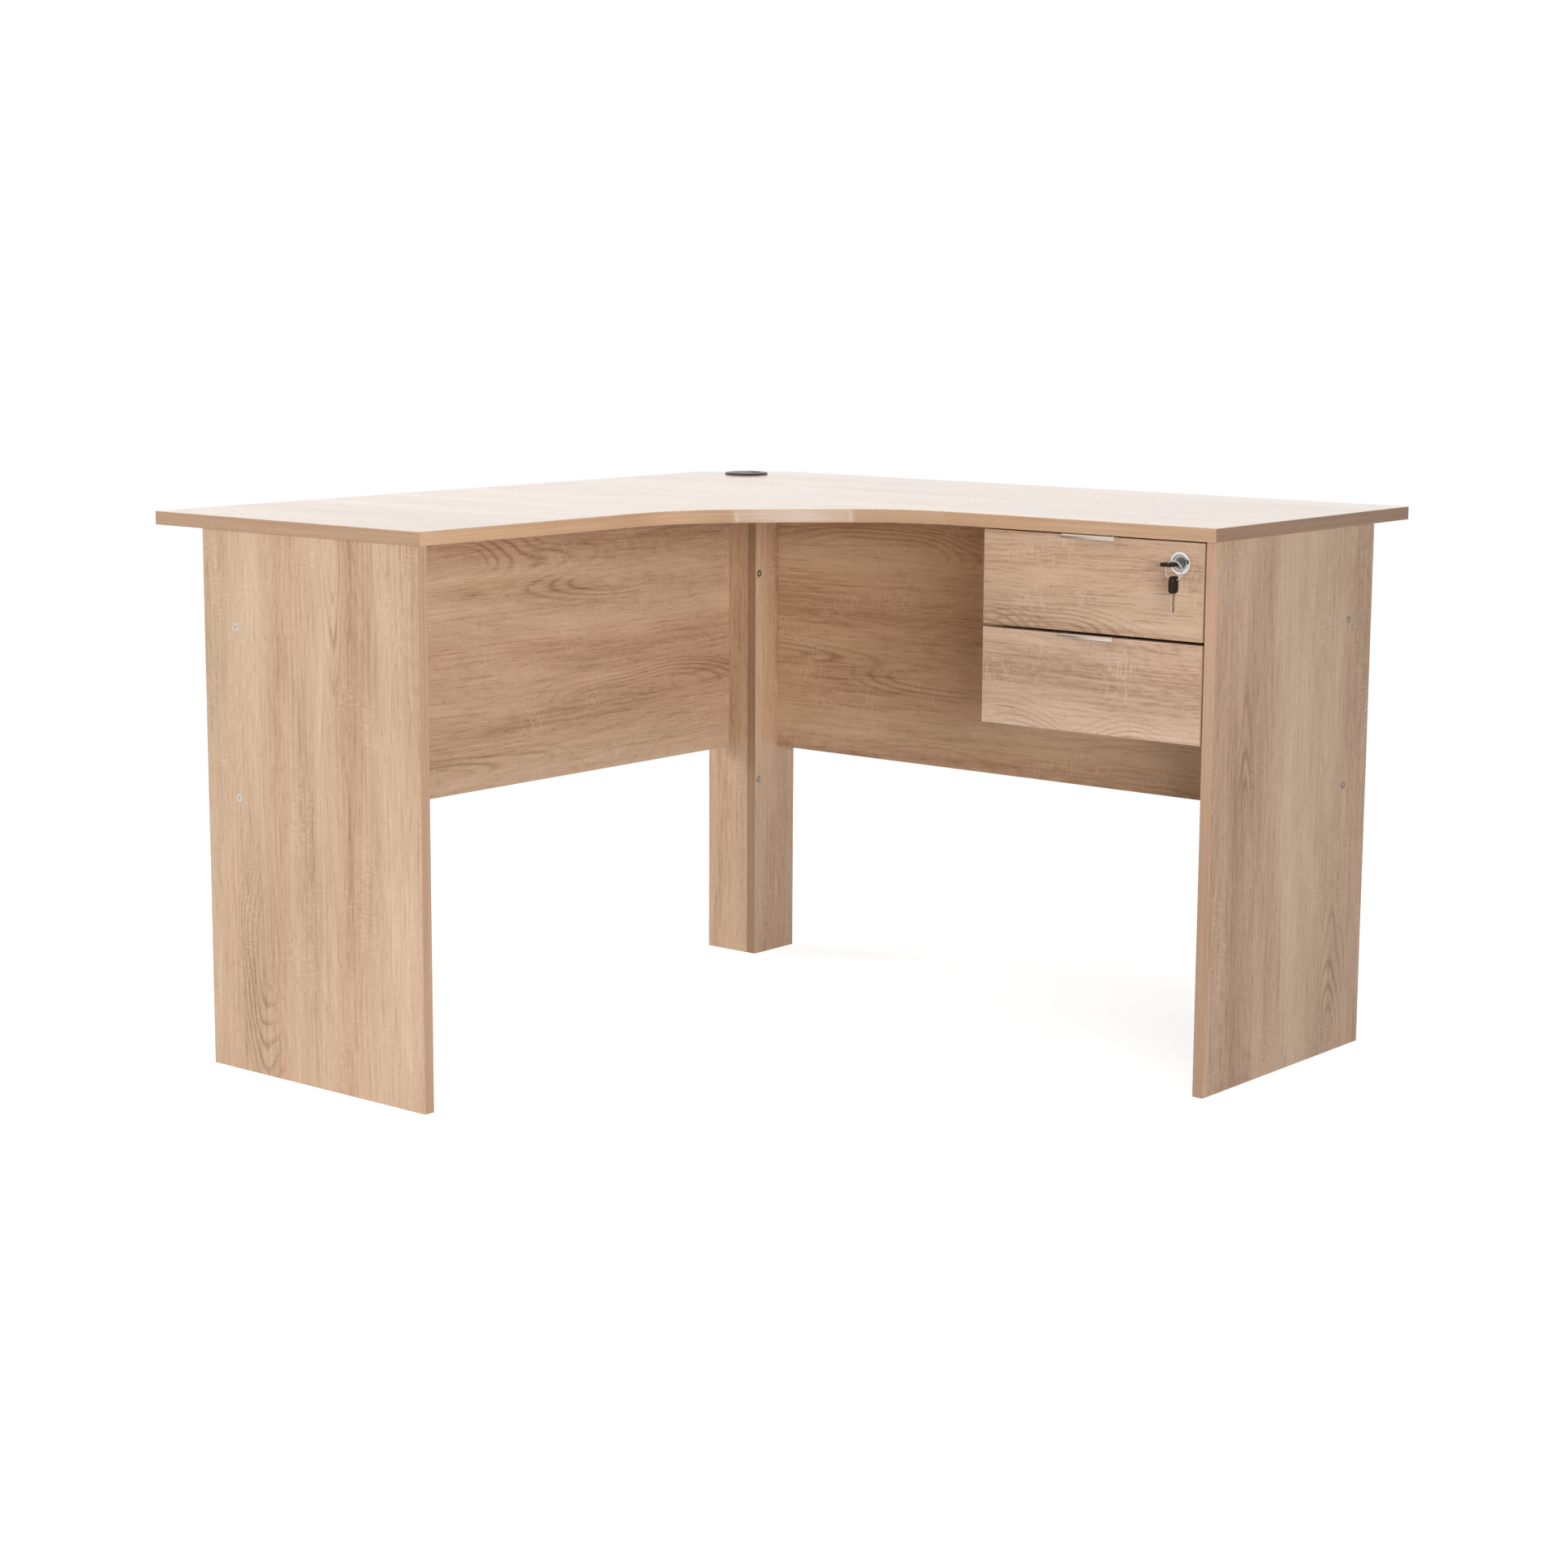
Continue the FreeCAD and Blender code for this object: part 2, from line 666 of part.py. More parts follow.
# A drawer: overlay front, two sides dowelled to it, a back, and a thin bottom in grooves
def make_drawer(drawer, front_bottom, front_height):
    front_top = f"({front_bottom} + {front_height})"
    box_bottom = f"({front_bottom} + drawer_rise)"
    box_top = f"({box_bottom} + drawer_side_height)"
    box_rear = f"({front_back} - drawer_depth)"
    box_left = f"({partition_inner} + runner_gap)"
    box_right = f"({right_inner} - runner_gap)"
    inside_left = f"({box_left} + drawer_board)"
    inside_right = f"({box_right} - drawer_board)"
    groove = f"({box_bottom} + groove_rise)"
    groove_top = f"({box_bottom} + {groove_top_rise})"
    whole_depth = (box_rear, front_back)

    pieces[f"{drawer}_drawer_front"] = block(
        f"{drawer}_front", (fronts_left, fronts_right), (front_back, panel_front), (front_bottom, front_top)
    )
    pieces[f"{drawer}_drawer_left_side"] = block(
        f"{drawer}_left", (box_left, inside_left), whole_depth, (box_bottom, box_top)
    )
    pieces[f"{drawer}_drawer_right_side"] = block(
        f"{drawer}_right", (inside_right, box_right), whole_depth, (box_bottom, box_top)
    )
    pieces[f"{drawer}_drawer_back"] = block(
        f"{drawer}_back",
        (inside_left, inside_right),
        (box_rear, f"{box_rear} + drawer_board"),
        (groove_top, box_top),
    )
    pieces[f"{drawer}_drawer_bottom"] = block(
        f"{drawer}_bottom",
        (f"{inside_left} - groove_depth + groove_play", f"{inside_right} + groove_depth - groove_play"),
        (box_rear, f"{front_back} + groove_depth - groove_play"),
        (f"{groove} + groove_play", f"{groove_top} - groove_play"),
    )
    groove_span = (f"{inside_left} - groove_depth", f"{inside_right} + groove_depth")
    groove_box = block(
        f"{drawer}_groove", groove_span, (box_rear, f"{front_back} + groove_depth"), (groove, groove_top)
    )
    for part in ("front", "left_side", "right_side"):
        carve(f"{drawer}_drawer_{part}", groove_box)

    dowels = []
    dowel = Part.makeCylinder(value("dowel_radius"), value("dowel_length"))
    for side, face, edge in (("left", box_left, inside_left), ("right", box_right, inside_right)):
        inward = opposite[side]
        middle = f"(({face}) + ({edge})) / 2"
        for height in (f"{box_top} - dowel_inset", f"{box_top} - dowel_inset - dowel_spacing"):
            start = (middle, f"{front_back} + dowel_in_front - dowel_length", height)
            dowels.append(placed(dowel, start, turned("front")))
            radius = "dowel_radius + fastener_play"
            hole = rod(f"{drawer}_{side}_dowel_hole", start, "front", radius, "dowel_length + fastener_play")
            carve(f"{drawer}_drawer_front", hole)
            carve(f"{drawer}_drawer_{side}_side", hole)
            seat = (face, f"{box_rear} + drawer_board / 2", height)
            through = [f"{drawer}_drawer_{side}_side", f"{drawer}_drawer_back"]
            screw(f"{drawer}_drawer_screws", "drawer", seat, inward, through)
        board = {"left": "drawer_partition", "right": "right_end_panel"}[side]
        runner(drawer, side, face, box_bottom, board)
    group(f"{drawer}_drawer_dowels", dowels)
    pull(drawer, front_top)


make_drawer("upper", upper_bottom, "upper_front_height")
make_drawer("lower", lower_bottom, "lower_front_height")

# Cam lock in the upper front, its axis running front to rear
lock_right = f"({fronts_right} - lock_from_edge)"
lock_up = f"({underside} - lock_drop)"
lock_at = (lock_right, panel_front, lock_up)
barrel_end = shift(lock_at, "rear", "barrel_length")
housing_bore = "(plug_radius + plug_play)"
housing = lathed(
    "housing",
    "XY_Plane",
    [
        (housing_bore, "-rosette_height"),
        ("rosette_radius - rosette_height / 2", "-rosette_height"),
        ("rosette_radius", "-rosette_height / 2"),
        ("rosette_radius", "0"),
        ("barrel_radius", "0"),
        ("barrel_radius", "barrel_length"),
        (housing_bore, "barrel_length"),
    ],
)
place(housing, *lock_at)
pieces["lock_housing"] = housing
barrel_hole = rod("barrel_hole", lock_at, "rear", "barrel_radius + fastener_play", "barrel_length")
carve("upper_drawer_front", barrel_hole)
nut = doc.addObject("Part::Prism", "nut_blank")
nut.Polygon = 6
nut.setExpression("Circumradius", formula("nut_radius"))
nut.setExpression("Height", formula("nut_height"))
nut.Placement = FreeCAD.Placement(FreeCAD.Vector(), turned("rear"))
place(nut, lock_right, front_back, lock_up)
pieces["lock_nut"] = nut
carve("lock_nut", barrel_hole)

plug = lathed(
    "plug",
    "XY_Plane",
    [
        ("0", "-rosette_height - plug_proud"),
        ("plug_radius", "-rosette_height - plug_proud"),
        ("plug_radius", "barrel_length"),
        ("tail_radius", "barrel_length"),
        ("tail_radius", "barrel_length + tail_length"),
        ("0", "barrel_length + tail_length"),
    ],
)
place(plug, *lock_at)
pieces["lock_plug"] = plug
blade_tip = f"({panel_front} + bow_out - blade_length)"
keyway_half = "(blade_width / 2 + keyway_play)"
slot_half = "(blade_thickness / 2 + keyway_play)"
keyway = block(
    "keyway",
    (f"{lock_right} - {keyway_half}", f"{lock_right} + {keyway_half}"),
    (f"{blade_tip} - keyway_play", f"{panel_front} + rosette_height + 2 * plug_proud"),
    (f"{lock_up} - {slot_half}", f"{lock_up} + {slot_half}"),
)
tail_end = shift(barrel_end, "rear", "tail_length")
tail_hole = rod("tail_hole", tail_end, "front", "cam_screw_radius + fastener_play", "cam_screw_length")
carve("lock_plug", keyway, tail_hole)

# The cam lies level when open and stands up behind the strike when the key is turned a quarter turn.
cam_front = f"({panel_front} - barrel_length - cam_gap)"
cam_rear = f"({cam_front} - cam_sheet)"
cam_arm = block(
    "cam_arm",
    (f"{lock_right} - cam_length", lock_right),
    (cam_rear, cam_front),
    (f"{lock_up} - cam_width / 2", f"{lock_up} + cam_width / 2"),
)
cam_hub = rod("cam_hub", (lock_right, cam_front, lock_up), "rear", "cam_width / 2", "cam_sheet")
pieces["lock_cam"] = fuse("cam", [cam_arm, cam_hub])
carve("lock_cam", rod("cam_hole", barrel_end, "rear", "tail_radius + fastener_play", "2 * tail_length"))
cam_seat = (lock_right, f"{panel_front} - barrel_length - tail_length", lock_up)
cam_head = rod("cam_screw_head", cam_seat, "rear", "cam_screw_head_radius", "cam_screw_head_height")
cam_shank = rod("cam_screw_shank", cam_seat, "front", "cam_screw_radius", "cam_screw_length - cam_gap")
pieces["lock_cam_screw"] = fuse("cam_screw", [cam_head, cam_shank])

strike_front = f"({cam_front} + strike_gap + strike_sheet)"
strike_span = (f"{lock_right} - strike_width / 2", f"{lock_right} + strike_width / 2")
strike_plate = block(
    "strike_plate",
    strike_span,
    (f"{strike_front} - strike_depth", strike_front),
    (f"{underside} - strike_sheet", underside),
)
strike_lip = block(
    "strike_lip",
    strike_span,
    (f"{strike_front} - strike_sheet", strike_front),
    (f"{underside} - strike_drop", underside),
)
pieces["lock_strike"] = fuse("strike", [strike_plate, strike_lip])
for side in ("-", "+"):
    seat = (
        f"{lock_right} {side} strike_screw_spacing / 2",
        f"{strike_front} - strike_screw_inset",
        f"{underside} - strike_sheet",
    )
    screw("short_screws", "short", seat, "up", ["lock_strike", "desk_top"])


# A key: a moulded bow with a slot for the ring, on a flat blade. Spans run across, along and through it.
def make_key(name, spans, across, through):
    half_slot = "(bow_slot_length / 2 - bow_slot_width / 2)"
    bow = spans["block"](f"{name}_bow_blank", "bow_width", spans["bow"], "bow_thickness")
    doc.recompute()
    edges = [
        (index, value("bow_round"), value("bow_round"))
        for index, edge in enumerate(bow.Shape.Edges, 1)
        if abs(edge.tangentAt(edge.FirstParameter).dot(towards[through])) > 0.9
    ]
    shaped = doc.addObject("Part::Fillet", f"{name}_bow_rounded")
    shaped.Base = bow
    shaped.Edges = edges
    slot = [spans["block"](f"{name}_slot", f"2 * {half_slot}", spans["slot"], "2 * bow_thickness")]
    for sign in ("-", "+"):
        at = shift(spans["slot_at"], across, f"{sign}{half_slot}")
        at = shift(at, through, "-bow_thickness")
        slot.append(rod(f"{name}_slot_end", at, through, "bow_slot_width / 2", "2 * bow_thickness"))
    blade = spans["block"](f"{name}_blade_blank", "blade_width", spans["blade"], "blade_thickness")
    pieces[f"{name}_bow"] = shaped
    pieces[f"{name}_blade"] = blade
    carve(f"{name}_bow", blade, *slot)


# The key in the lock lies level and points out to the front.
def level_block(name, width, along, thickness):
    across = (f"{lock_right} - ({width}) / 2", f"{lock_right} + ({width}) / 2")
    return block(name, across, along, (f"{lock_up} - ({thickness}) / 2", f"{lock_up} + ({thickness}) / 2"))


bow_near = f"({panel_front} + bow_out)"
bow_far = f"({bow_near} + bow_length)"
ring_plane = f"({bow_far} - bow_slot_edge)"
make_key(
    "key",
    {
        "block": level_block,
        "bow": (bow_near, bow_far),
        "blade": (blade_tip, f"{bow_near} + blade_in_bow"),
        "slot": (f"{ring_plane} - bow_slot_width / 2", f"{ring_plane} + bow_slot_width / 2"),
        "slot_at": (lock_right, ring_plane, lock_up),
    },
    "right",
    "up",
)

# The ring runs through the bow's slot and hangs to its right, with the spare key at its lowest point.
ring_right = f"({lock_right} - ring_radius * cos(ring_tilt * 1 deg))"
ring_up = f"({lock_up} - ring_radius * sin(ring_tilt * 1 deg))"
ring = doc.addObject("Part::Torus", "ring")
ring.setExpression("Radius1", formula("ring_radius"))
ring.setExpression("Radius2", formula("ring_wire_radius"))
ring.Placement = FreeCAD.Placement(FreeCAD.Vector(), turned("rear"))
place(ring, ring_right, ring_plane, ring_up)
pieces["key_ring"] = ring


def hanging_block(name, width, along, thickness):
    across = (f"{ring_right} - ({thickness}) / 2", f"{ring_right} + ({thickness}) / 2")
    depth = (f"{ring_plane} - ({width}) / 2", f"{ring_plane} + ({width}) / 2")
    return block(name, across, depth, along)


slot_top = f"({ring_up} - ring_radius + ring_wire_radius + spare_hang)"
spare_top = f"({slot_top} - bow_slot_width / 2 + bow_slot_edge)"
spare_bottom = f"({spare_top} - bow_length)"
make_key(
    "spare_key",
    {
        "block": hanging_block,
        "bow": (spare_bottom, spare_top),
        "blade": (f"{spare_bottom} - blade_length", f"{spare_bottom} + blade_in_bow"),
        "slot": (f"{slot_top} - bow_slot_width", slot_top),
        "slot_at": (ring_right, ring_plane, f"{slot_top} - bow_slot_width / 2"),
    },
    "front",
    "right",
)

# Fasteners are placed last; then each piece takes its cuts and its name.
for name, (kind, places) in fasteners.items():
    solid = screw_solid(kind)
    group(name, [placed(solid, at, turned(direction)) for at, direction in places])

for name, piece in list(pieces.items()):
    if name in cutters:
        piece = cut(f"{name}_carved", piece, cutters[name])
    piece.Label = name
    pieces[name] = piece
doc.recompute()

failed = [item.Label for item in doc.Objects if {"Invalid", "Error"} & set(item.State)]
failed += [name for name, piece in pieces.items() if piece.Shape.isNull() or not piece.Shape.isValid()]
if failed:
    raise RuntimeError(f"these pieces failed: {failed}")

os.makedirs("parts", exist_ok=True)
for name, piece in pieces.items():
    piece.Shape.exportStep(f"parts/{name}.step")
print(f"{len(pieces)} pieces")
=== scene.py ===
import math
import bpy
from mathutils import Matrix, Quaternion, Vector


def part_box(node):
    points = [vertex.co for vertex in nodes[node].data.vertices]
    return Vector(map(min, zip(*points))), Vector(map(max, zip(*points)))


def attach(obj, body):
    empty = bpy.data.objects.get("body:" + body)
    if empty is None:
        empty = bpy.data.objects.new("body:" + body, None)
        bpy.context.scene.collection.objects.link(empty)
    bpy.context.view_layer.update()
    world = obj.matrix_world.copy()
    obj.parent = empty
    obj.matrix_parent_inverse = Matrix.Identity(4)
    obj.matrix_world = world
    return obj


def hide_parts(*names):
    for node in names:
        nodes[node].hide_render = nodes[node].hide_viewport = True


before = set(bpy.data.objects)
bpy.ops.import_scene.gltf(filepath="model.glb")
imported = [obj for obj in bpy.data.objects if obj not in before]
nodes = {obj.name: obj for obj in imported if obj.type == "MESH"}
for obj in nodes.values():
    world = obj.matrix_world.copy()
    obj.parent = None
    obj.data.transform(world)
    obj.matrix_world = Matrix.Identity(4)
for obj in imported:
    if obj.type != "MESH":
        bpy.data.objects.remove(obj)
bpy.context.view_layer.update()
scene = bpy.context.scene
scene.view_settings.view_transform = "Standard"
mm = 0.001
near = 1e-6  # points closer than this are one
print("frame loaded:", len(nodes), "nodes")


# modelling by hand: what the pieces share

def deselectAll():
    if bpy.context.mode != "OBJECT":
        bpy.ops.object.mode_set(mode="OBJECT")
    bpy.ops.object.select_all(action="DESELECT")


def choose(piece):
    deselectAll()
    piece.select_set(True)
    bpy.context.view_layer.objects.active = piece


def edit(piece, kind="VERT"):
    choose(piece)
    bpy.ops.object.mode_set(mode="EDIT")
    bpy.ops.mesh.select_mode(type=kind)
    bpy.ops.mesh.select_all(action="SELECT")


def pickFaces(piece, test):
    edit(piece, "FACE")
    bpy.ops.mesh.select_all(action="DESELECT")
    bpy.ops.object.mode_set(mode="OBJECT")
    for face in piece.data.polygons:
        face.select = test(face.center, face.normal)
    bpy.ops.object.mode_set(mode="EDIT")


def pickEdges(piece, test):
    edit(piece, "EDGE")
    bpy.ops.mesh.select_all(action="DESELECT")
    bpy.ops.object.mode_set(mode="OBJECT")
    spots = piece.data.vertices
    for line in piece.data.edges:
        line.select = test(spots[line.vertices[0]].co, spots[line.vertices[1]].co)
    bpy.ops.object.mode_set(mode="EDIT")


def settle(piece, name=None):  # place, turn and scale go into the mesh
    choose(piece)
    bpy.ops.object.transform_apply(location=True, rotation=True, scale=True)
    if name:
        piece.name = name
        piece.data.name = name
    return piece


def applyAll(piece):
    choose(piece)
    for modifier in list(piece.modifiers):
        bpy.ops.object.modifier_apply(modifier=modifier.name)


def discard(piece):
    choose(piece)
    bpy.ops.object.delete()


def cutAway(piece, cutter):
    choose(piece)
    cut = piece.modifiers.new("cut", "BOOLEAN")
    cut.object = cutter
    cut.operation = "DIFFERENCE"
    bpy.ops.object.modifier_apply(modifier=cut.name)
    discard(cutter)


def copyOf(piece, place):
    choose(piece)
    bpy.ops.object.duplicate(linked=False)
    copied = bpy.context.object
    copied.matrix_world = place
    return settle(copied)


def rounded(corners, steps, closed=True):  # corners are (point, radius)
    path = []
    last = len(corners) - 1
    for index, (corner, radius) in enumerate(corners):
        if not radius or (not closed and index in (0, last)):
            path.append(Vector(corner))
            continue
        here = Vector(corner)
        before = (Vector(corners[index - 1][0]) - here).normalized()
        after = (Vector(corners[(index + 1) % (last + 1)][0]) - here).normalized()
        half = before.angle(after) / 2
        centre = here + (before + after).normalized() * (radius / math.sin(half))
        first = here + before * (radius / math.tan(half)) - centre
        end = here + after * (radius / math.tan(half)) - centre
        for step in range(steps + 1):
            path.append(centre + first.lerp(end, step / steps).normalized() * radius)
    return path


def extrude(step):
    bpy.ops.mesh.extrude_region_move(TRANSFORM_OT_translate={"value": step})


def trace(path, closed=True):  # one point, extruded along the path
    deselectAll()
    bpy.ops.mesh.primitive_plane_add(size=2 * mm, location=path[0])
    piece = settle(bpy.context.object)
    edit(piece)
    bpy.ops.mesh.merge(type="CENTER")
    route = path[1:] + (path[:1] if closed else [])
    for start, end in zip(path, route):
        extrude(end - start)
    bpy.ops.mesh.select_all(action="SELECT")
    bpy.ops.mesh.remove_doubles(threshold=near)
    return piece


def slab(path, thickness):  # a traced outline, filled and given its thickness
    piece = trace(path)
    bpy.ops.mesh.edge_face_add()
    extrude(thickness)
    bpy.ops.mesh.select_all(action="SELECT")
    bpy.ops.mesh.normals_make_consistent(inside=False)
    return piece


def turned(path, centre, axis, steps):  # a traced outline spun round an axis
    piece = trace(path)
    bpy.ops.mesh.spin(steps=steps, angle=2 * math.pi, center=centre, axis=axis)
    bpy.ops.mesh.select_all(action="SELECT")
    bpy.ops.mesh.remove_doubles(threshold=near)
    bpy.ops.mesh.dissolve_degenerate(threshold=near / 10)
    bpy.ops.mesh.select_all(action="SELECT")
    bpy.ops.mesh.normals_make_consistent(inside=False)
    return piece


def smooth(piece, degrees=35):
    choose(piece)
    bpy.ops.object.shade_smooth_by_angle(angle=math.radians(degrees))


def hand(piece, name, body, slotName, look, *standsFor):
    settle(piece, name)
    piece.data.materials.clear()
    piece.data.materials.append(look)
    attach(piece, body)
    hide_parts(*standsFor)


def inlay(piece, look, test):  # a second look, on the faces that pass the test
    piece.data.materials.append(look)
    pickFaces(piece, test)
    piece.active_material_index = 1
    bpy.ops.object.material_slot_assign()
    deselectAll()


# shaders: a wire is a socket that can be reckoned with

class Wire:
    def __init__(self, tree, socket=None):
        self.tree = tree
        self.socket = socket

    def make(self, kind, settings, values, out=0):
        node = self.tree.nodes.new(kind)
        for key, value in settings.items():
            if key == "stops":
                while len(node.color_ramp.elements) < len(value):
                    node.color_ramp.elements.new(1.0)
                for stop, (place, colour) in zip(node.color_ramp.elements, value):
                    stop.position = place
                    stop.color = (*colour, 1)
            else:
                setattr(node, key, value)
        for key, value in values.items():
            if isinstance(value, Wire):
                self.tree.links.new(value.socket, node.inputs[key])
            else:
                node.inputs[key].default_value = value
        return Wire(self.tree, node.outputs[out] if len(node.outputs) else None)

    def side(self, out):  # another output of the same node
        return Wire(self.tree, self.socket.node.outputs[out])

    def math(self, operation, first, second):
        return self.make("ShaderNodeMath", {"operation": operation}, {0: first, 1: second})

    def __add__(self, other):
        return self.math("ADD", self, other)

    __radd__ = __add__

    def __sub__(self, other):
        return self.math("SUBTRACT", self, other)

    def __rsub__(self, other):
        return self.math("SUBTRACT", other, self)

    def __mul__(self, other):
        return self.math("MULTIPLY", self, other)

    __rmul__ = __mul__

    def __pow__(self, other):
        return self.math("POWER", self, other)

    def most(self, other):
        return self.math("MAXIMUM", self, other)

    def size(self):
        return self.math("ABSOLUTE", self, 0.0)

    def wave(self):
        return self.math("SINE", self, 0.0)

    def step(self, low, high):  # soft step from 0 at low to 1 at high
        return self.make("ShaderNodeMapRange", {"interpolation_type": "SMOOTHSTEP"},
                         {"Value": self, "From Min": low, "From Max": high})

    def noise(self, place, detail=2.0, roughness=0.5):
        return self.make("ShaderNodeTexNoise", {}, {"Vector": place, "Scale": 1.0,
                                                    "Detail": detail, "Roughness": roughness})

    def speckle(self, place, scale, detail=2.0, roughness=0.5):  # one scale, or one for each axis
        scale = scale if isinstance(scale, tuple) else (scale, scale, scale)
        return self.noise(self.vector("MULTIPLY", place, scale), detail, roughness)

    def spot(self, x, y, z=0.0):
        return self.make("ShaderNodeCombineXYZ", {}, {"X": x, "Y": y, "Z": z})

    def mix(self, first, second):  # self is the share of the second colour
        first = first if isinstance(first, Wire) else (*first, 1)
        second = second if isinstance(second, Wire) else (*second, 1)
        # 6 and 7 are the node's colour sockets, and 2 its colour output
        return self.make("ShaderNodeMix", {"data_type": "RGBA"}, {0: self, 6: first, 7: second}, 2)

    def vector(self, operation, first, second, out=0):
        socketName = "Scale" if operation == "SCALE" else 1
        return self.make("ShaderNodeVectorMath", {"operation": operation},
                         {0: first, socketName: second}, out)


def newLook(name):
    look = bpy.data.materials.new(name)
    look.use_nodes = True
    look.node_tree.nodes.clear()
    sheet = Wire(look.node_tree)
    place = sheet.make("ShaderNodeTexCoord", {}, {}, "Object")
    return look, sheet, place


def surface(sheet, values, height, depth, strength):
    bump = sheet.make("ShaderNodeBump", {}, {"Height": height, "Distance": depth,
                                             "Strength": strength})
    shader = sheet.make("ShaderNodeBsdfPrincipled", {}, {**values, "Normal": bump}, "BSDF")
    sheet.make("ShaderNodeOutputMaterial", {}, {"Surface": shader})


# oak laminate: strips, fine streaks, nested figure, fibres, pores and saw marks across the grain
oakTones = {
    "dark": (0.29, 0.165, 0.095), "middle": (0.575, 0.395, 0.265), "pale": (0.76, 0.575, 0.43),
    "rose": (1.012, 0.992, 0.985), "straw": (0.99, 1.003, 0.992), "saw": (0.76, 0.59, 0.455),
    # the last edge colour darkens the top's right end band: painted shade
    "edge": (0.50, 0.315, 0.195), "edgePale": (0.60, 0.405, 0.265), "edgePaintedShade": (0.64, 0.55, 0.47),
}
oakLayers = {  # waves per metre along and across, pull of the drift, shift, detail, roughness
    "strips": (0.22, 15.0, 0.25, 1.0, 0.0, 0.5),
    "broad": (1.7, 15.0, 1.0, 5.0, 2.0, 0.6),
    "streaks": (5.6, 165.0, 3.0, 0.0, 2.0, 0.55),
    "fibres": (21.0, 480.0, 5.0, 0.0, 2.0, 0.6),
    "hairs": (40.0, 1500.0, 0.0, 3.0, 1.0, 0.5),
    "dashes": (9.0, 330.0, 4.0, 6.0, 1.0, 0.5),
    "flecks": (65.0, 420.0, 4.0, 2.0, 1.0, 0.5),
    "pores": (75.0, 900.0, 0.0, 7.0, 1.0, 0.5),
    "field": (1.7, 10.0, 0.5, 9.0, 1.0, 0.45),
    "bend": (5.0, 15.0, 0.0, 8.0, 1.0, 0.5),
    "clusters": (11.0, 17.0, 0.0, 4.0, 1.0, 0.5),
}
oakPlace = {"seedAlong": 3.7, "seedShift": 1.93, "through": 0.8,
            "driftAlong": 2.0, "driftAcross": 6.0}
oakSteps = {"dashes": (0.54, 0.74), "flecks": (0.52, 0.72), "pores": (0.62, 0.74),
            "clusters": (0.5, 0.64)}
oakMean = 0.56
oakShares = {"streaks": 0.46, "broad": 0.92, "strips": 0.48, "fibres": 0.52, "hairs": 0.12}
oakMarks = {"dashes": 0.17, "flecks": 0.14, "rings": 0.31, "pores": 0.12}  # these only darken
oakFigure = {"faintWaves": 170.0, "faintSharp": 4.0, "faint": 0.2, "wobble": 0.75, "waves": 0.95,
             "sharp": 2.5, "core": (0.1, 0.4), "rim": (0.5, 1.3), "lean": (-0.35, 0.55),
             "fibres": 1.5, "gaps": 0.2}
oakHue = (0.47, 0.53)  # strips: rose below, straw above
oakSaw = {"along": 340.0, "across": 74.0, "pull": 3.0, "step": (0.5, 0.66), "share": 0.28}
oakBand = {"turn": (0.5, 0.85), "streaks": (2.6, 240.0), "hairs": (22.0, 1500.0),
           "streakShare": 1.5, "hairShare": 0.5, "step": (0.1, 0.9), "relief": 0.3}
oakRelief = {"fibres": 0.5, "hairs": 0.25, "pores": -0.7, "rings": -0.15}
oakFinish = {"fibres": 0.16, "calm": 0.1, "pores": 0.12, "ior": 1.46, "coatGloss": 0.14,
             "depth": 0.00012}
# the top's edge bands: paler on the left wing (painted highlight), darker at the right end (painted
# shade)
topBands = {"inner": (0.05, 0.11), "front": (-0.5995, -0.598), "pale": 0.3, "end": (0.598, 0.5995)}


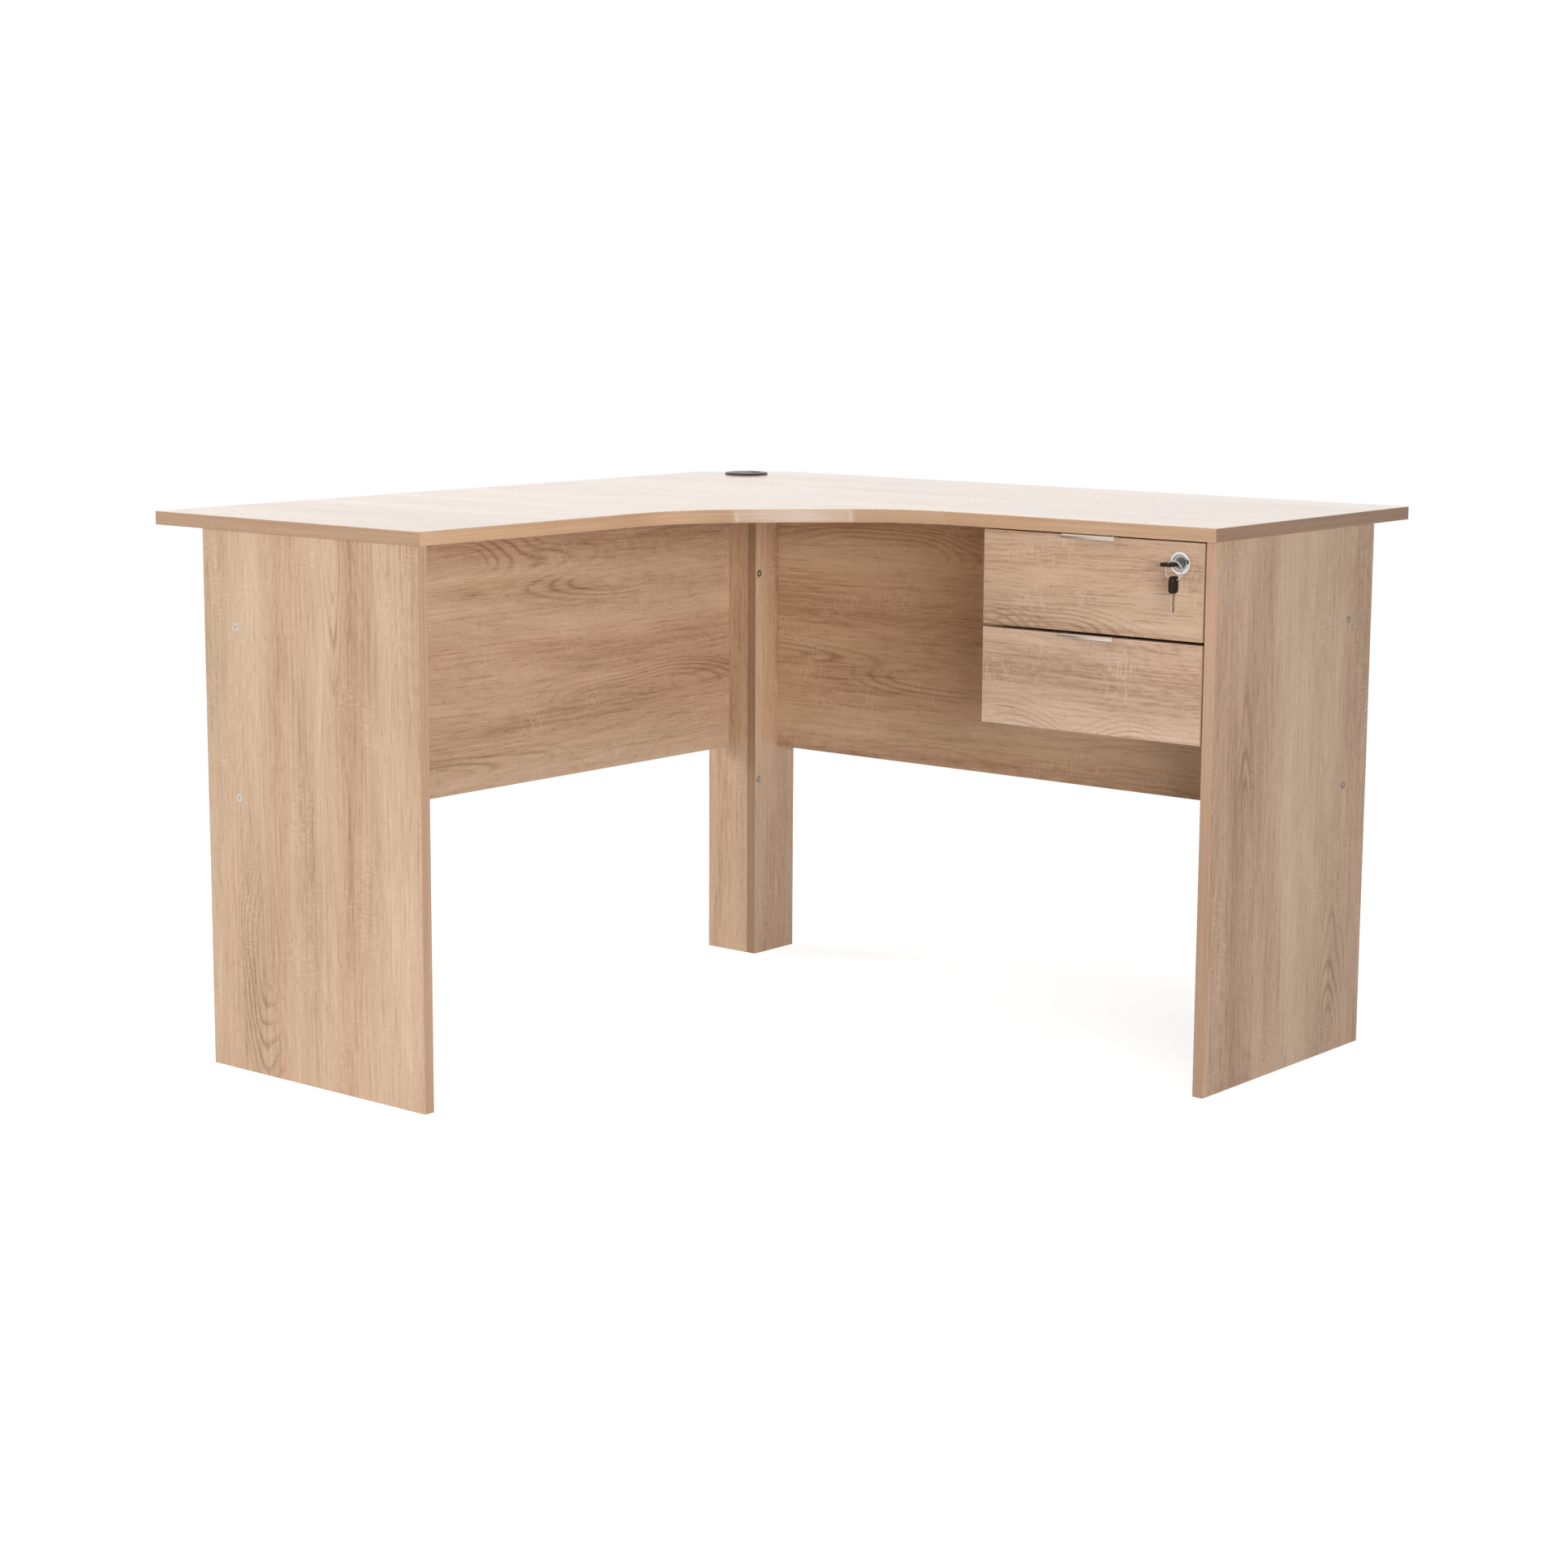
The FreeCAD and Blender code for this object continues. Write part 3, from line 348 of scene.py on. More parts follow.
def oakLook(name, along, across, seed, toneAndPaintedLight, edgeTint, zones,
            gloss=0.40, edgeGloss=0.40, relief=0.6, coat=0.0):
    look, sheet, place = newLook(name)
    through = next(axis for axis in "XYZ" if axis not in (along, across))
    parts = place.make("ShaderNodeSeparateXYZ", {}, {"Vector": place}, along)
    # the seed picks the board's stretch of the print
    lengthwise = parts + seed * oakPlace["seedAlong"]
    sideways = parts.side(across) + parts.side(through) * oakPlace["through"]
    shift = seed * oakPlace["seedShift"]
    drift = sheet.noise(sheet.spot(lengthwise * oakPlace["driftAlong"],
                                   sideways * oakPlace["driftAcross"], shift))
    layers = {}
    for kind, (lengths, widths, pull, own, detail, roughness) in oakLayers.items():
        offset = sideways * widths + drift * pull if pull else sideways * widths
        layers[kind] = sheet.noise(sheet.spot(lengthwise * lengths, offset, shift + own),
                                   detail, roughness)
        if kind in oakSteps:
            layers[kind] = layers[kind].step(*oakSteps[kind])
    fibres, pores = layers["fibres"], layers["pores"]
    # growth lines: a faint stretched field everywhere, and arcs on one side of each figure's middle
    rings = (layers["field"] * oakFigure["faintWaves"]).wave() * 0.5 + 0.5
    rings = (rings ** oakFigure["faintSharp"]) * oakFigure["faint"]
    bend = layers["bend"] - 0.5
    for centreAlong, centreAcross, halfLong, halfWide, leanAlong, leanAcross in zones:
        far = (parts - centreAlong * mm) * (1 / (halfLong * mm))
        off = (parts.side(across) - centreAcross * mm) * (1 / (halfWide * mm))
        loop = (far * far + off * off) ** 0.5 + bend * oakFigure["wobble"]
        nested = (loop * (halfWide * oakFigure["waves"])).wave() * 0.5 + 0.5
        nested = nested ** oakFigure["sharp"]
        nested = nested * loop.step(*oakFigure["core"]) * (1.0 - loop.step(*oakFigure["rim"]))
        nested = nested * (far * leanAlong + off * leanAcross + bend).step(*oakFigure["lean"])
        rings = rings.most(nested)
    grip = fibres * oakFigure["fibres"] + layers["streaks"] - oakFigure["gaps"]
    layers["rings"] = rings * grip  # broken up by the grain
    sawn = sheet.noise(sheet.spot(lengthwise * oakSaw["along"] + drift * oakSaw["pull"],
                                  sideways * oakSaw["across"], shift), 1.0)
    sawn = sawn.step(*oakSaw["step"]) * layers["clusters"]
    value = oakMean
    for kind, share in oakShares.items():
        value = value + (layers[kind] - 0.5) * share
    for kind, share in oakMarks.items():
        value = value - layers[kind] * share
    face = sheet.make("ShaderNodeValToRGB", {"stops": [
        (0.0, oakTones["dark"]), (0.5, oakTones["middle"]), (1.0, oakTones["pale"])]}, {0: value})
    face = (sawn * oakSaw["share"]).mix(face, oakTones["saw"])
    hue = layers["strips"].step(*oakHue).mix(oakTones["rose"], oakTones["straw"])
    face = sheet.vector("MULTIPLY", face, hue)
    # edge bands: streaks along the edge, whichever way it runs
    plate = tuple(1.0 if axis == through else 0.0 for axis in "XYZ")
    normal = sheet.make("ShaderNodeNewGeometry", {}, {}, "Normal")
    facing = sheet.vector("DOT_PRODUCT", normal, plate, "Value").size()
    edge = 1.0 - facing.step(*oakBand["turn"])
    run = sheet.vector("CROSS_PRODUCT", normal, plate)
    run, rise = sheet.vector("DOT_PRODUCT", place, run, "Value"), parts.side(through)
    lengths, widths = oakBand["streaks"]
    bandStreaks = sheet.noise(sheet.spot(run * lengths, rise * widths, shift), 3.0, 0.6)
    lengths, widths = oakBand["hairs"]
    bandHairs = sheet.noise(sheet.spot(run * lengths, rise * widths, shift), 1.0)
    band = (bandStreaks - 0.5) * oakBand["streakShare"] + (bandHairs - 0.5) * oakBand["hairShare"]
    band = (band + 0.5).step(*oakBand["step"]).mix(oakTones["edge"], oakTones["edgePale"])
    if through == "Z":  # the top: the left wing's edge band painted paler, a painted highlight; the right end's band painted darker, painted shade
        # painted highlight: the left wing's edge band made paler
        inner = (0.0 - parts.side("X")).step(*topBands["inner"])
        inner = inner * parts.side("Y").step(*topBands["front"])
        # painted shade: the right end's edge band darkened
        shadedRightEnd = parts.side("X").step(*topBands["end"])
        band = sheet.vector("SCALE", band, 1.0 + inner * topBands["pale"])
        band = sheet.vector("MULTIPLY", band, shadedRightEnd.mix((1, 1, 1), oakTones["edgePaintedShade"]))
    base = edge.mix(face, sheet.vector("MULTIPLY", band, edgeTint))
    # the board's own tone, scaled with painted light and shade: lighter where the board stands lit,
    # darker where it stands in shade
    base = sheet.vector("MULTIPLY", base, toneAndPaintedLight)
    grain = 0.0
    for kind, share in oakRelief.items():
        grain = grain + layers[kind] * share
    grain = grain * (1.0 - edge) + bandHairs * edge * oakBand["relief"]
    dull = gloss + edge * (edgeGloss - gloss)
    dull = dull + (fibres - 0.5) * (oakFinish["fibres"] - edge * oakFinish["calm"])
    dull = dull + pores * (1.0 - edge) * oakFinish["pores"]
    values = {"Base Color": base, "Roughness": dull, "IOR": oakFinish["ior"]}
    if coat:
        values.update({"Coat Weight": (1.0 - edge) * coat,
                       "Coat Roughness": oakFinish["coatGloss"]})
    surface(sheet, values, grain, oakFinish["depth"], relief)
    return look


def boardLook():  # drawer sides and backs: paler beech print, plain
    look, sheet, place = newLook("beechPrint")
    parts = place.make("ShaderNodeSeparateXYZ", {}, {"Vector": place}, "X")
    along, up = parts + parts.side("Y"), parts.side("Z")
    streaks = sheet.noise(sheet.spot(along * 1.4, up * 70.0), 3.0, 0.6)
    fibres = sheet.noise(sheet.spot(along * 14.0, up * 800.0))
    dashes = sheet.noise(sheet.spot(along * 95.0, up * 620.0, 3.0), 1.0).step(0.6, 0.72)
    value = (streaks - 0.5) * 0.9 + (fibres - 0.5) * 0.5 + 0.5
    base = value.step(0.1, 0.9).mix((0.56, 0.40, 0.27), (0.69, 0.53, 0.39))
    base = (dashes * 0.35).mix(base, (0.44, 0.29, 0.18))
    dull = 0.45 + (fibres - 0.5) * 0.15
    surface(sheet, {"Base Color": base, "Roughness": dull, "IOR": oakFinish["ior"]},
            fibres - dashes, 0.00008, 0.5)
    return look


def hardboardLook():  # pressed fibre sheet with a pale lacquer
    look, sheet, place = newLook("lacqueredHardboard")
    flock = sheet.speckle(place, 420.0, 3.0, 0.65)
    clouds = sheet.speckle(place, 9.0)
    value = (flock - 0.5) * 0.8 + (clouds - 0.5) * 0.6 + 0.5
    base = value.step(0.15, 0.85).mix((0.62, 0.53, 0.42), (0.76, 0.69, 0.60))
    dull = 0.5 + (clouds - 0.5) * 0.2
    surface(sheet, {"Base Color": base, "Roughness": dull}, flock, 0.00008, 0.5)
    return look


def dowelLook():
    look, sheet, place = newLook("beechDowel")
    parts = place.make("ShaderNodeSeparateXYZ", {}, {"Vector": place}, "Y")
    thin = 900.0
    fibres = sheet.noise(sheet.spot(parts * 30.0, parts.side("X") * thin, parts.side("Z") * thin))
    base = fibres.step(0.25, 0.75).mix((0.56, 0.38, 0.22), (0.72, 0.54, 0.36))
    dull = 0.6 + (fibres - 0.5) * 0.2
    surface(sheet, {"Base Color": base, "Roughness": dull}, fibres, 0.0001, 0.6)
    return look


def zincLook():  # galvanised sheet: soft spangle and dull patches
    look, sheet, place = newLook("zincPlate")
    spangle = sheet.make("ShaderNodeTexVoronoi", {}, {"Vector": place, "Scale": 330.0}, "Color")
    spangle = spangle.make("ShaderNodeSeparateColor", {}, {"Color": spangle})
    patches = sheet.speckle(place, 60.0, 3.0)
    base = (spangle * 0.5 + patches * 0.5).mix((0.56, 0.57, 0.58), (0.76, 0.76, 0.76))
    dull = 0.32 + patches * 0.2 + spangle * 0.06
    surface(sheet, {"Base Color": base, "Metallic": 1.0, "Roughness": dull}, patches, 0.00005, 0.4)
    return look


def powderLook():  # white powder coat with an orange-peel skin
    look, sheet, place = newLook("powderCoat")
    peel = sheet.speckle(place, 900.0, 1.0)
    dust = sheet.speckle(place, 35.0)
    base = dust.step(0.3, 0.8).mix((0.82, 0.815, 0.80), (0.72, 0.715, 0.70))
    dull = 0.36 + (dust - 0.5) * 0.2
    surface(sheet, {"Base Color": base, "Roughness": dull}, peel, 0.00006, 0.5)
    return look


def nylonLook():
    look, sheet, place = newLook("rollerNylon")
    clouds = sheet.speckle(place, 160.0)
    rub = sheet.speckle(place, (900.0, 1200.0, 1200.0))
    base = clouds.step(0.3, 0.8).mix((0.80, 0.79, 0.76), (0.68, 0.67, 0.64))
    dull = 0.42 + (rub - 0.5) * 0.25
    surface(sheet, {"Base Color": base, "Roughness": dull}, rub, 0.00003, 0.4)
    return look


def brushedLook():  # satin aluminium, brushed along the pull; its colour is darkened and warmed with painted reflection of the wood around it
    look, sheet, place = newLook("satinAluminiumPaintedReflection")
    parts = place.make("ShaderNodeSeparateXYZ", {}, {"Vector": place}, "X")
    fine = 5200.0
    brush = sheet.noise(sheet.spot(parts * 18.0, parts.side("Y") * fine, parts.side("Z") * fine))
    hands = sheet.speckle(place, (55.0, 90.0, 90.0))
    base = brush.step(0.25, 0.75).mix((0.60, 0.53, 0.46), (0.74, 0.67, 0.60))
    dull = 0.22 + brush * 0.14 + hands * 0.06
    surface(sheet, {"Base Color": base, "Metallic": 1.0, "Roughness": dull}, brush, 0.00002, 0.5)
    return look


def metalLook(name, low, high, gloss, grain):  # plated metal: polish marks and fine scratches
    look, sheet, place = newLook(name)
    haze = sheet.speckle(place, 140.0)
    marks = sheet.speckle(place, (4200.0, 600.0, 4200.0))
    base = (haze * 0.6 + marks * 0.4).step(0.25, 0.75).mix(low, high)
    dull = gloss + haze * grain + marks * grain * 0.7
    surface(sheet, {"Base Color": base, "Metallic": 1.0, "Roughness": dull}, marks, 0.00001, 0.4)
    return look


def plasticLook(name, low, high, gloss, scale, shine=0.5):  # moulded, with a spark-eroded skin
    look, sheet, place = newLook(name)
    skin = sheet.speckle(place, scale, 2.0, 0.6)
    hands = sheet.speckle(place, 120.0)
    base = (skin * 0.5 + hands * 0.5).step(0.3, 0.7).mix(low, high)
    dull = gloss + (skin - 0.5) * 0.2 + (hands - 0.5) * 0.16
    surface(sheet, {"Base Color": base, "Roughness": dull, "Specular IOR Level": shine},
            skin, 0.00005, 0.5)
    return look


looks = {
    "beech": boardLook(), "hardboard": hardboardLook(), "dowel": dowelLook(), "zinc": zincLook(),
    "powder": powderLook(), "nylon": nylonLook(), "aluminium": brushedLook(),
    "chrome": metalLook("lockChrome", (0.70, 0.70, 0.71), (0.80, 0.80, 0.81), 0.06, 0.10),
    # plug: nickel painted very dark, painted dark reflection and shade; it also darkens the screw
    # hollows and shaded heads
    "plug": metalLook("nickelPaintedShade", (0.13, 0.125, 0.12), (0.27, 0.26, 0.25), 0.20, 0.16),
    # dish: the rosette's chrome painted darker, painted shade
    "dish": metalLook("dishPaintedShade", (0.36, 0.33, 0.30), (0.56, 0.52, 0.48), 0.16, 0.16),
    # nickel: the key blades' own nickel, darkened and browned with painted reflection of the wood
    "nickel": metalLook("nickelPaintedWoodReflection", (0.48, 0.40, 0.33), (0.64, 0.55, 0.47), 0.20, 0.16),
    "ring": metalLook("ringChrome", (0.56, 0.52, 0.47), (0.68, 0.64, 0.59), 0.12, 0.14),
    "screw": metalLook("screwSteel", (0.64, 0.62, 0.60), (0.80, 0.78, 0.76), 0.20, 0.14),
    "bow": plasticLook("bowPlastic", (0.012, 0.007, 0.004), (0.026, 0.015, 0.009),
                       0.50, 1500.0, 0.2),
    "grommet": plasticLook("grommetPlastic", (0.020, 0.015, 0.012), (0.040, 0.031, 0.026),
                           0.36, 1900.0),
}
print("looks made:", len(looks))


# boards: straight boxes with eased edges
boardShape = {"ease": 0.8 * mm, "steps": 3}
# node: body, grain, across, seed, tint (the board's own tone, with painted light and shade: lighter
# where the board stands lit, darker where it stands in shade), edge tint, figures
# a figure: middle along and across and half sizes in mm, and the side that shows
boards = {
    "left_end_panel": ("desk", "Z", "X", 1.0, (1.12, 1.12, 1.12), (0.88, 0.87, 0.90), [
        (170, -395, 230, 60, -0.6, -0.8), (680, -260, 190, 24, -1, 0)]),
    "right_end_panel": ("desk", "Z", "Y", 2.0, (0.99, 0.98, 0.98), (0.90, 0.89, 0.95), [
        (-60, 430, 330, 44, 1, -0.3), (330, 190, 230, 24, 1, 0)]),
    "left_modesty_panel": ("desk", "Y", "Z", 3.0, (1.08, 1.08, 1.09), (1, 1, 1), [
        (-260, 640, 360, 62, 0.4, 0.9), (-540, 430, 190, 28, 0.9, -0.4),
        (190, 430, 300, 46, 0.3, 0.9), (110, 600, 230, 34, -0.7, -0.6),
        (-250, 350, 260, 28, 0.5, 0.8)]),
    "right_modesty_panel": ("desk", "X", "Z", 4.0, (0.935, 0.905, 0.86), (1, 1, 1), [
        (-190, 630, 320, 56, 0.3, 0.9), (-400, 470, 260, 26, 0.8, 0.5),
        (-40, 450, 260, 34, -0.5, -0.8), (350, 370, 320, 34, 0.4, 0.8)]),
    "post_left_board": ("desk", "Z", "X", 5.0, (0.96, 0.94, 0.93), (1, 1, 1), []),
    "post_right_board": ("desk", "Z", "Y", 6.0, (1.01, 1.0, 0.99), (0.61, 0.59, 0.57), []),
    "drawer_partition": ("desk", "Z", "Y", 7.0, (1.0, 1.0, 1.0), (1, 1, 1), [
        (560, 280, 200, 50, 0.7, 0.6)]),
    "upper_drawer_front": ("upper_drawer", "X", "Z", 8.0, (0.94, 0.945, 0.98), (1, 1, 1), [
        (235, 556, 165, 78, 0.4, 0.9), (345, 572, 210, 60, 0.5, 0.8)]),
    "lower_drawer_front": ("lower_drawer", "X", "Z", 9.0, (1.03, 1.06, 1.14), (1, 1, 1), [
        (290, 438, 120, 58, 1, 0.5), (480, 436, 116, 58, -1, 0.5)]),
}
lockPlace = {"right": 544 * mm, "up": 688 * mm, "face": 106 * mm, "hole": 9.45 * mm}


def easedBoard(node):
    low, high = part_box(node)
    deselectAll()
    bpy.ops.mesh.primitive_cube_add(size=1, location=(low + high) / 2, scale=high - low)
    piece = settle(bpy.context.object)
    edit(piece, "EDGE")
    bpy.ops.mesh.bevel(offset=boardShape["ease"], segments=boardShape["steps"], affect="EDGES")
    return piece


for node, (body, along, across, seed, toneAndPaintedLight, edgeTint, zones) in boards.items():
    piece = easedBoard(node)
    if node == "upper_drawer_front":  # the lock's barrel goes through
        deselectAll()
        bpy.ops.mesh.primitive_cylinder_add(
            vertices=64, radius=lockPlace["hole"], depth=60 * mm, rotation=(math.pi / 2, 0, 0),
            location=(lockPlace["right"], lockPlace["face"], lockPlace["up"]))
        cutAway(piece, settle(bpy.context.object))
    oak = oakLook("oak_" + node, along, across, seed, toneAndPaintedLight, edgeTint, zones)
    hand(piece, "board_" + node, body, "oak_laminate", oak, node)
print("boards made:", len(boards))


# the top: one L-shaped board with a blended 45 degree front
topShape = {
    "under": 717 * mm, "thickness": 18 * mm, "ease": 1.0 * mm, "steps": 3,
    "blend": 200 * mm, "arcSteps": 28, "holeAt": (-505 * mm, 505 * mm), "hole": 30 * mm,
    "corners": [(-500, 600, 0), (600, 600, 0), (600, 100, 0), (120, 100, 1), (-100, -120, 1),
                (-100, -600, 0), (-600, -600, 0), (-600, 500, 0)],  # 1: blended
    "figures": [(-200, 330, 300, 60, 0.6, 0.7), (-420, -150, 280, 50, -0.7, 0.6),
                (330, 300, 260, 40, 0.8, -0.4)],
}
rim = rounded([((x * mm, y * mm, topShape["under"]), blend * topShape["blend"])
               for x, y, blend in topShape["corners"]], topShape["arcSteps"])
top = slab(rim, Vector((0, 0, topShape["thickness"])))
cornerSpots = [Vector((x * mm, y * mm)) for x, y, blend in topShape["corners"]]
pickEdges(top, lambda first, second: abs(first.z - second.z) < near or any(
    (first.xy - spot).length < 10 * near for spot in cornerSpots))
bpy.ops.mesh.bevel(offset=topShape["ease"], segments=topShape["steps"], affect="EDGES")
deselectAll()
bpy.ops.mesh.primitive_cylinder_add(vertices=96, radius=topShape["hole"], depth=80 * mm,
                                    location=(*topShape["holeAt"], topShape["under"]))
cutAway(top, settle(bpy.context.object))
smooth(top, degrees=12)
# the top's tint paints it paler: its own pale tone with painted sheen
topOak = oakLook("oak_desk_top", "X", "Y", 10.0, (1.32, 1.265, 1.18), (0.72, 0.732, 0.758),
                 topShape["figures"], gloss=0.26, edgeGloss=0.125, relief=0.2, coat=0.72)
hand(top, "board_desk_top", "desk", "oak_laminate", topOak, "desk_top")
print("top made")


# panel screws: one countersunk head with a cross recess, copied to its twelve places
screwShape = {
    "radius": 5 * mm, "sink": 3 * mm, "proud": 0.3 * mm, "shank": 3 * mm, "length": 50 * mm,
    "crossLong": 6.4 * mm, "crossWide": 1.1 * mm, "crossDeep": 2.2 * mm,
    "rings": [(0.5, 0), (1.2, 0.12), (0.9, 0), (0.5, -1.3)],  # the last one is the hollow
    "hollow": 3.3 * mm, "hollowFrom": -2.6 * mm, "hollowTo": -0.05 * mm,
    "shadedHeadsAt": (-385, 598), "shadedHeadReach": 8 * mm,  # x of the post's and the right panel's heads, painted dark as shade
}
screwPlaces = [  # place, outward direction, turn of the cross
    ((-446, -598, 367), (0, -1, 0), 20), ((-446, -598, 592), (0, -1, 0), 70),
    ((598, 446, 367), (1, 0, 0), 35), ((598, 446, 592), (1, 0, 0), 5),
    ((-446, 401, 367), (0, 1, 0), 50), ((-446, 401, 592), (0, 1, 0), 12),
    ((-401, 446, 367), (-1, 0, 0), 28), ((-401, 446, 592), (-1, 0, 0), 80),
    ((-385, 393, 275), (1, 0, 0), 60), ((-385, 393, 594), (1, 0, 0), 15),
    ((248, 454, 502), (0, 1, 0), 40), ((248, 454, 672), (0, 1, 0), 66),
]


def inPaintedShade(spot):  # painted shade: in the hollow or the cross of a head, and on the heads that stand in shade
    for place, outward, spin in screwPlaces:
        away = spot - Vector(place) * mm
        out = away.dot(Vector(outward))
        aside = (away - Vector(outward) * out).length
        deep = screwShape["hollowFrom"] < out < screwShape["hollowTo"]
        # a head that stands in shade gets painted shade
        dull = place[0] in screwShape["shadedHeadsAt"] and away.length < screwShape["shadedHeadReach"]
        if dull or (deep and aside < screwShape["hollow"]):
            return True
    return False


deselectAll()
headTall = screwShape["sink"] + screwShape["proud"]
bpy.ops.mesh.primitive_cylinder_add(vertices=40, radius=screwShape["radius"], depth=headTall,
                                    location=(0, 0, screwShape["proud"] - headTall / 2))
screw = settle(bpy.context.object)
pickFaces(screw, lambda centre, normal: normal.z < -0.9)
share = screwShape["shank"] / screwShape["radius"]
bpy.ops.transform.resize(value=(share, share, 1))
extrude((0, 0, screwShape["sink"] - screwShape["length"]))
pickFaces(screw, lambda centre, normal: normal.z > 0.9)
for wide, deep in screwShape["rings"]:
    bpy.ops.mesh.inset(thickness=wide * mm, depth=deep * mm)
crossSize = (screwShape["crossLong"], screwShape["crossWide"], 2 * screwShape["crossDeep"])
for quarter in range(2):  # the two slots of the cross
    deselectAll()
    bpy.ops.mesh.primitive_cube_add(size=1, scale=crossSize, rotation=(0, 0, quarter * math.pi / 2))
    cutAway(screw, settle(bpy.context.object))
smooth(screw, degrees=30)
screws = []
for place, outward, spin in screwPlaces:
    turn = Vector(outward).to_track_quat("Z", "Y") @ Quaternion((0, 0, 1), math.radians(spin))
    spot = Matrix.Translation(Vector(place) * mm) @ turn.to_matrix().to_4x4()
    screws.append(copyOf(screw, spot))
discard(screw)
choose(screws[0])
for other in screws[1:]:
    other.select_set(True)
bpy.ops.object.join()
hand(screws[0], "panelScrews", "desk", "zinc_steel", looks["screw"], "panel_screws")
# painted shade: dark metal in the heads' hollows and crosses and on the shaded heads
inlay(screws[0], looks["plug"], lambda centre, normal: inPaintedShade(centre))
print("screws made:", len(screws))


# edge pulls: a strip of sheet bent over the front's upper edge
pullShape = {
    "left": 368.5 * mm, "width": 82 * mm, "sheet": 1.5 * mm, "bend": 2.4 * mm, "steps": 6,
    "ease": 0.3 * mm, "lipAt": 96 * mm, "lip": 5.5 * mm, "legAt": 123.5 * mm, "leg": 15.5 * mm,
    "crowns": {"upper": 716.3 * mm, "lower": 586.5 * mm},
}
for drawer, crown in pullShape["crowns"].items():
    section = [((pullShape["left"], pullShape["lipAt"], crown - pullShape["lip"]), 0),
               ((pullShape["left"], pullShape["lipAt"], crown), pullShape["bend"]),
               ((pullShape["left"], pullShape["legAt"], crown), pullShape["bend"]),
               ((pullShape["left"], pullShape["legAt"], crown - pullShape["leg"]), 0)]
    pull = trace(rounded(section, pullShape["steps"], closed=False), closed=False)
    extrude((pullShape["width"], 0, 0))
    bpy.ops.mesh.select_all(action="SELECT")
    bpy.ops.mesh.normals_make_consistent(inside=False)
    choose(pull)
    # the plate's upper face has to look up before the sheet gets its thickness
    plateFace = max(pull.data.polygons, key=lambda face: abs(face.normal.z) * face.area)
    if plateFace.normal.z < 0:
        edit(pull, "FACE")
        bpy.ops.mesh.flip_normals()
        choose(pull)
    sheetMetal = pull.modifiers.new("sheet", "SOLIDIFY")
    sheetMetal.thickness = pullShape["sheet"]
    sheetMetal.offset = -1
    sheetMetal.use_even_offset = True
    eased = pull.modifiers.new("eased", "BEVEL")
    eased.width = pullShape["ease"]
    eased.segments = 2
    eased.limit_method = "ANGLE"
    eased.angle_limit = math.radians(50)
    applyAll(pull)
    smooth(pull, degrees=40)
    hand(pull, "edgePull_" + drawer, drawer + "_drawer", "satin_aluminium", looks["aluminium"],
         drawer + "_drawer_pull")
print("pulls made")


# lock housing: a rosette with a rolled rim round a shallow dish, and its barrel
housingShape = {
    "radius": 15 * mm, "height": 2 * mm, "roll": 1.4 * mm, "dish": 11 * mm, "dishDeep": 1.2 * mm,
    "soft": 0.3 * mm, "brow": 0.25 * mm, "slopeIn": 0.4 * mm, "slopeOut": 0.2 * mm,
    "barrel": 9.4 * mm, "bore": 7.1 * mm, "length": 24 * mm,
}
ringFront = lockPlace["face"] - housingShape["height"]
dishFloor = ringFront + housingShape["dishDeep"]
barrelEnd = lockPlace["face"] + housingShape["length"]
section = [((housingShape["bore"], barrelEnd), 0),
           ((housingShape["bore"], dishFloor), housingShape["soft"]),
           ((housingShape["dish"] - housingShape["slopeIn"], dishFloor), housingShape["soft"]),
           ((housingShape["dish"] + housingShape["slopeOut"], ringFront), housingShape["brow"]),
           ((housingShape["radius"], ringFront), housingShape["roll"]),
           ((housingShape["radius"], lockPlace["face"]), 0),
           ((housingShape["barrel"], lockPlace["face"]), 0),
           ((housingShape["barrel"], barrelEnd), 0)]
section = rounded([((lockPlace["right"] + r, y, lockPlace["up"]), bend)
                   for (r, y), bend in section], steps=6)
housing = turned(section, (lockPlace["right"], 0, lockPlace["up"]), (0, 1, 0), steps=72)
smooth(housing)
hand(housing, "lockRing", "upper_drawer", "chrome", looks["chrome"], "lock_housing")
lockAxis = Vector((lockPlace["right"], lockPlace["up"]))
inlay(housing, looks["dish"], lambda centre, normal: centre.y < lockPlace["face"] and (
    centre.xz - lockAxis).length < housingShape["dish"] - 0.1 * mm)  # painted shade: the dish darker than the rim of the same chrome
print("lock ring made")


# keys: a moulded bow with a slot, and a cut blade; modelled once, then placed twice
keyShape = {
    "bowWide": 18 * mm, "bowLong": 22 * mm, "bowThick": 4.5 * mm, "bowRound": 5 * mm,
    "soft": 0.9 * mm, "thumb": [(1.4, 0), (0.5, -0.35)],  # shallow hollows for the thumb
    "slotLong": 8 * mm, "slotWide": 4 * mm, "slotFrom": 6 * mm, "slotEase": 0.98,
    "bladeThick": 2 * mm, "groove": (1.1 * mm, 26 * mm, 1.0 * mm),
    "grooveAt": (-1.2 * mm, -13 * mm),
    "cuts": [(3.5, 10), (-3.5, 10), (-3.5, -22.5), (-1.6, -25), (0.6, -25), (2.0, -22.5),
             (2.0, -21.2), (3.0, -19.6), (3.0, -18.6), (1.6, -16.6), (1.6, -15.4), (2.6, -13.8),
             (2.6, -12.8), (1.9, -11.4), (1.9, -10.2), (3.2, -8.2), (3.2, -7.4), (2.2, -5.8),
             (2.2, -4.8), (3.5, -2.8)],
}
half = keyShape["bowWide"] / 2
bowRim = rounded([((x, y, -keyShape["bowThick"] / 2), keyShape["bowRound"]) for x, y in (
    (half, 0), (half, keyShape["bowLong"]), (-half, keyShape["bowLong"]), (-half, 0))], steps=7)
bow = slab(bowRim, Vector((0, 0, keyShape["bowThick"])))
pickEdges(bow, lambda first, second: abs(first.z - second.z) < near)
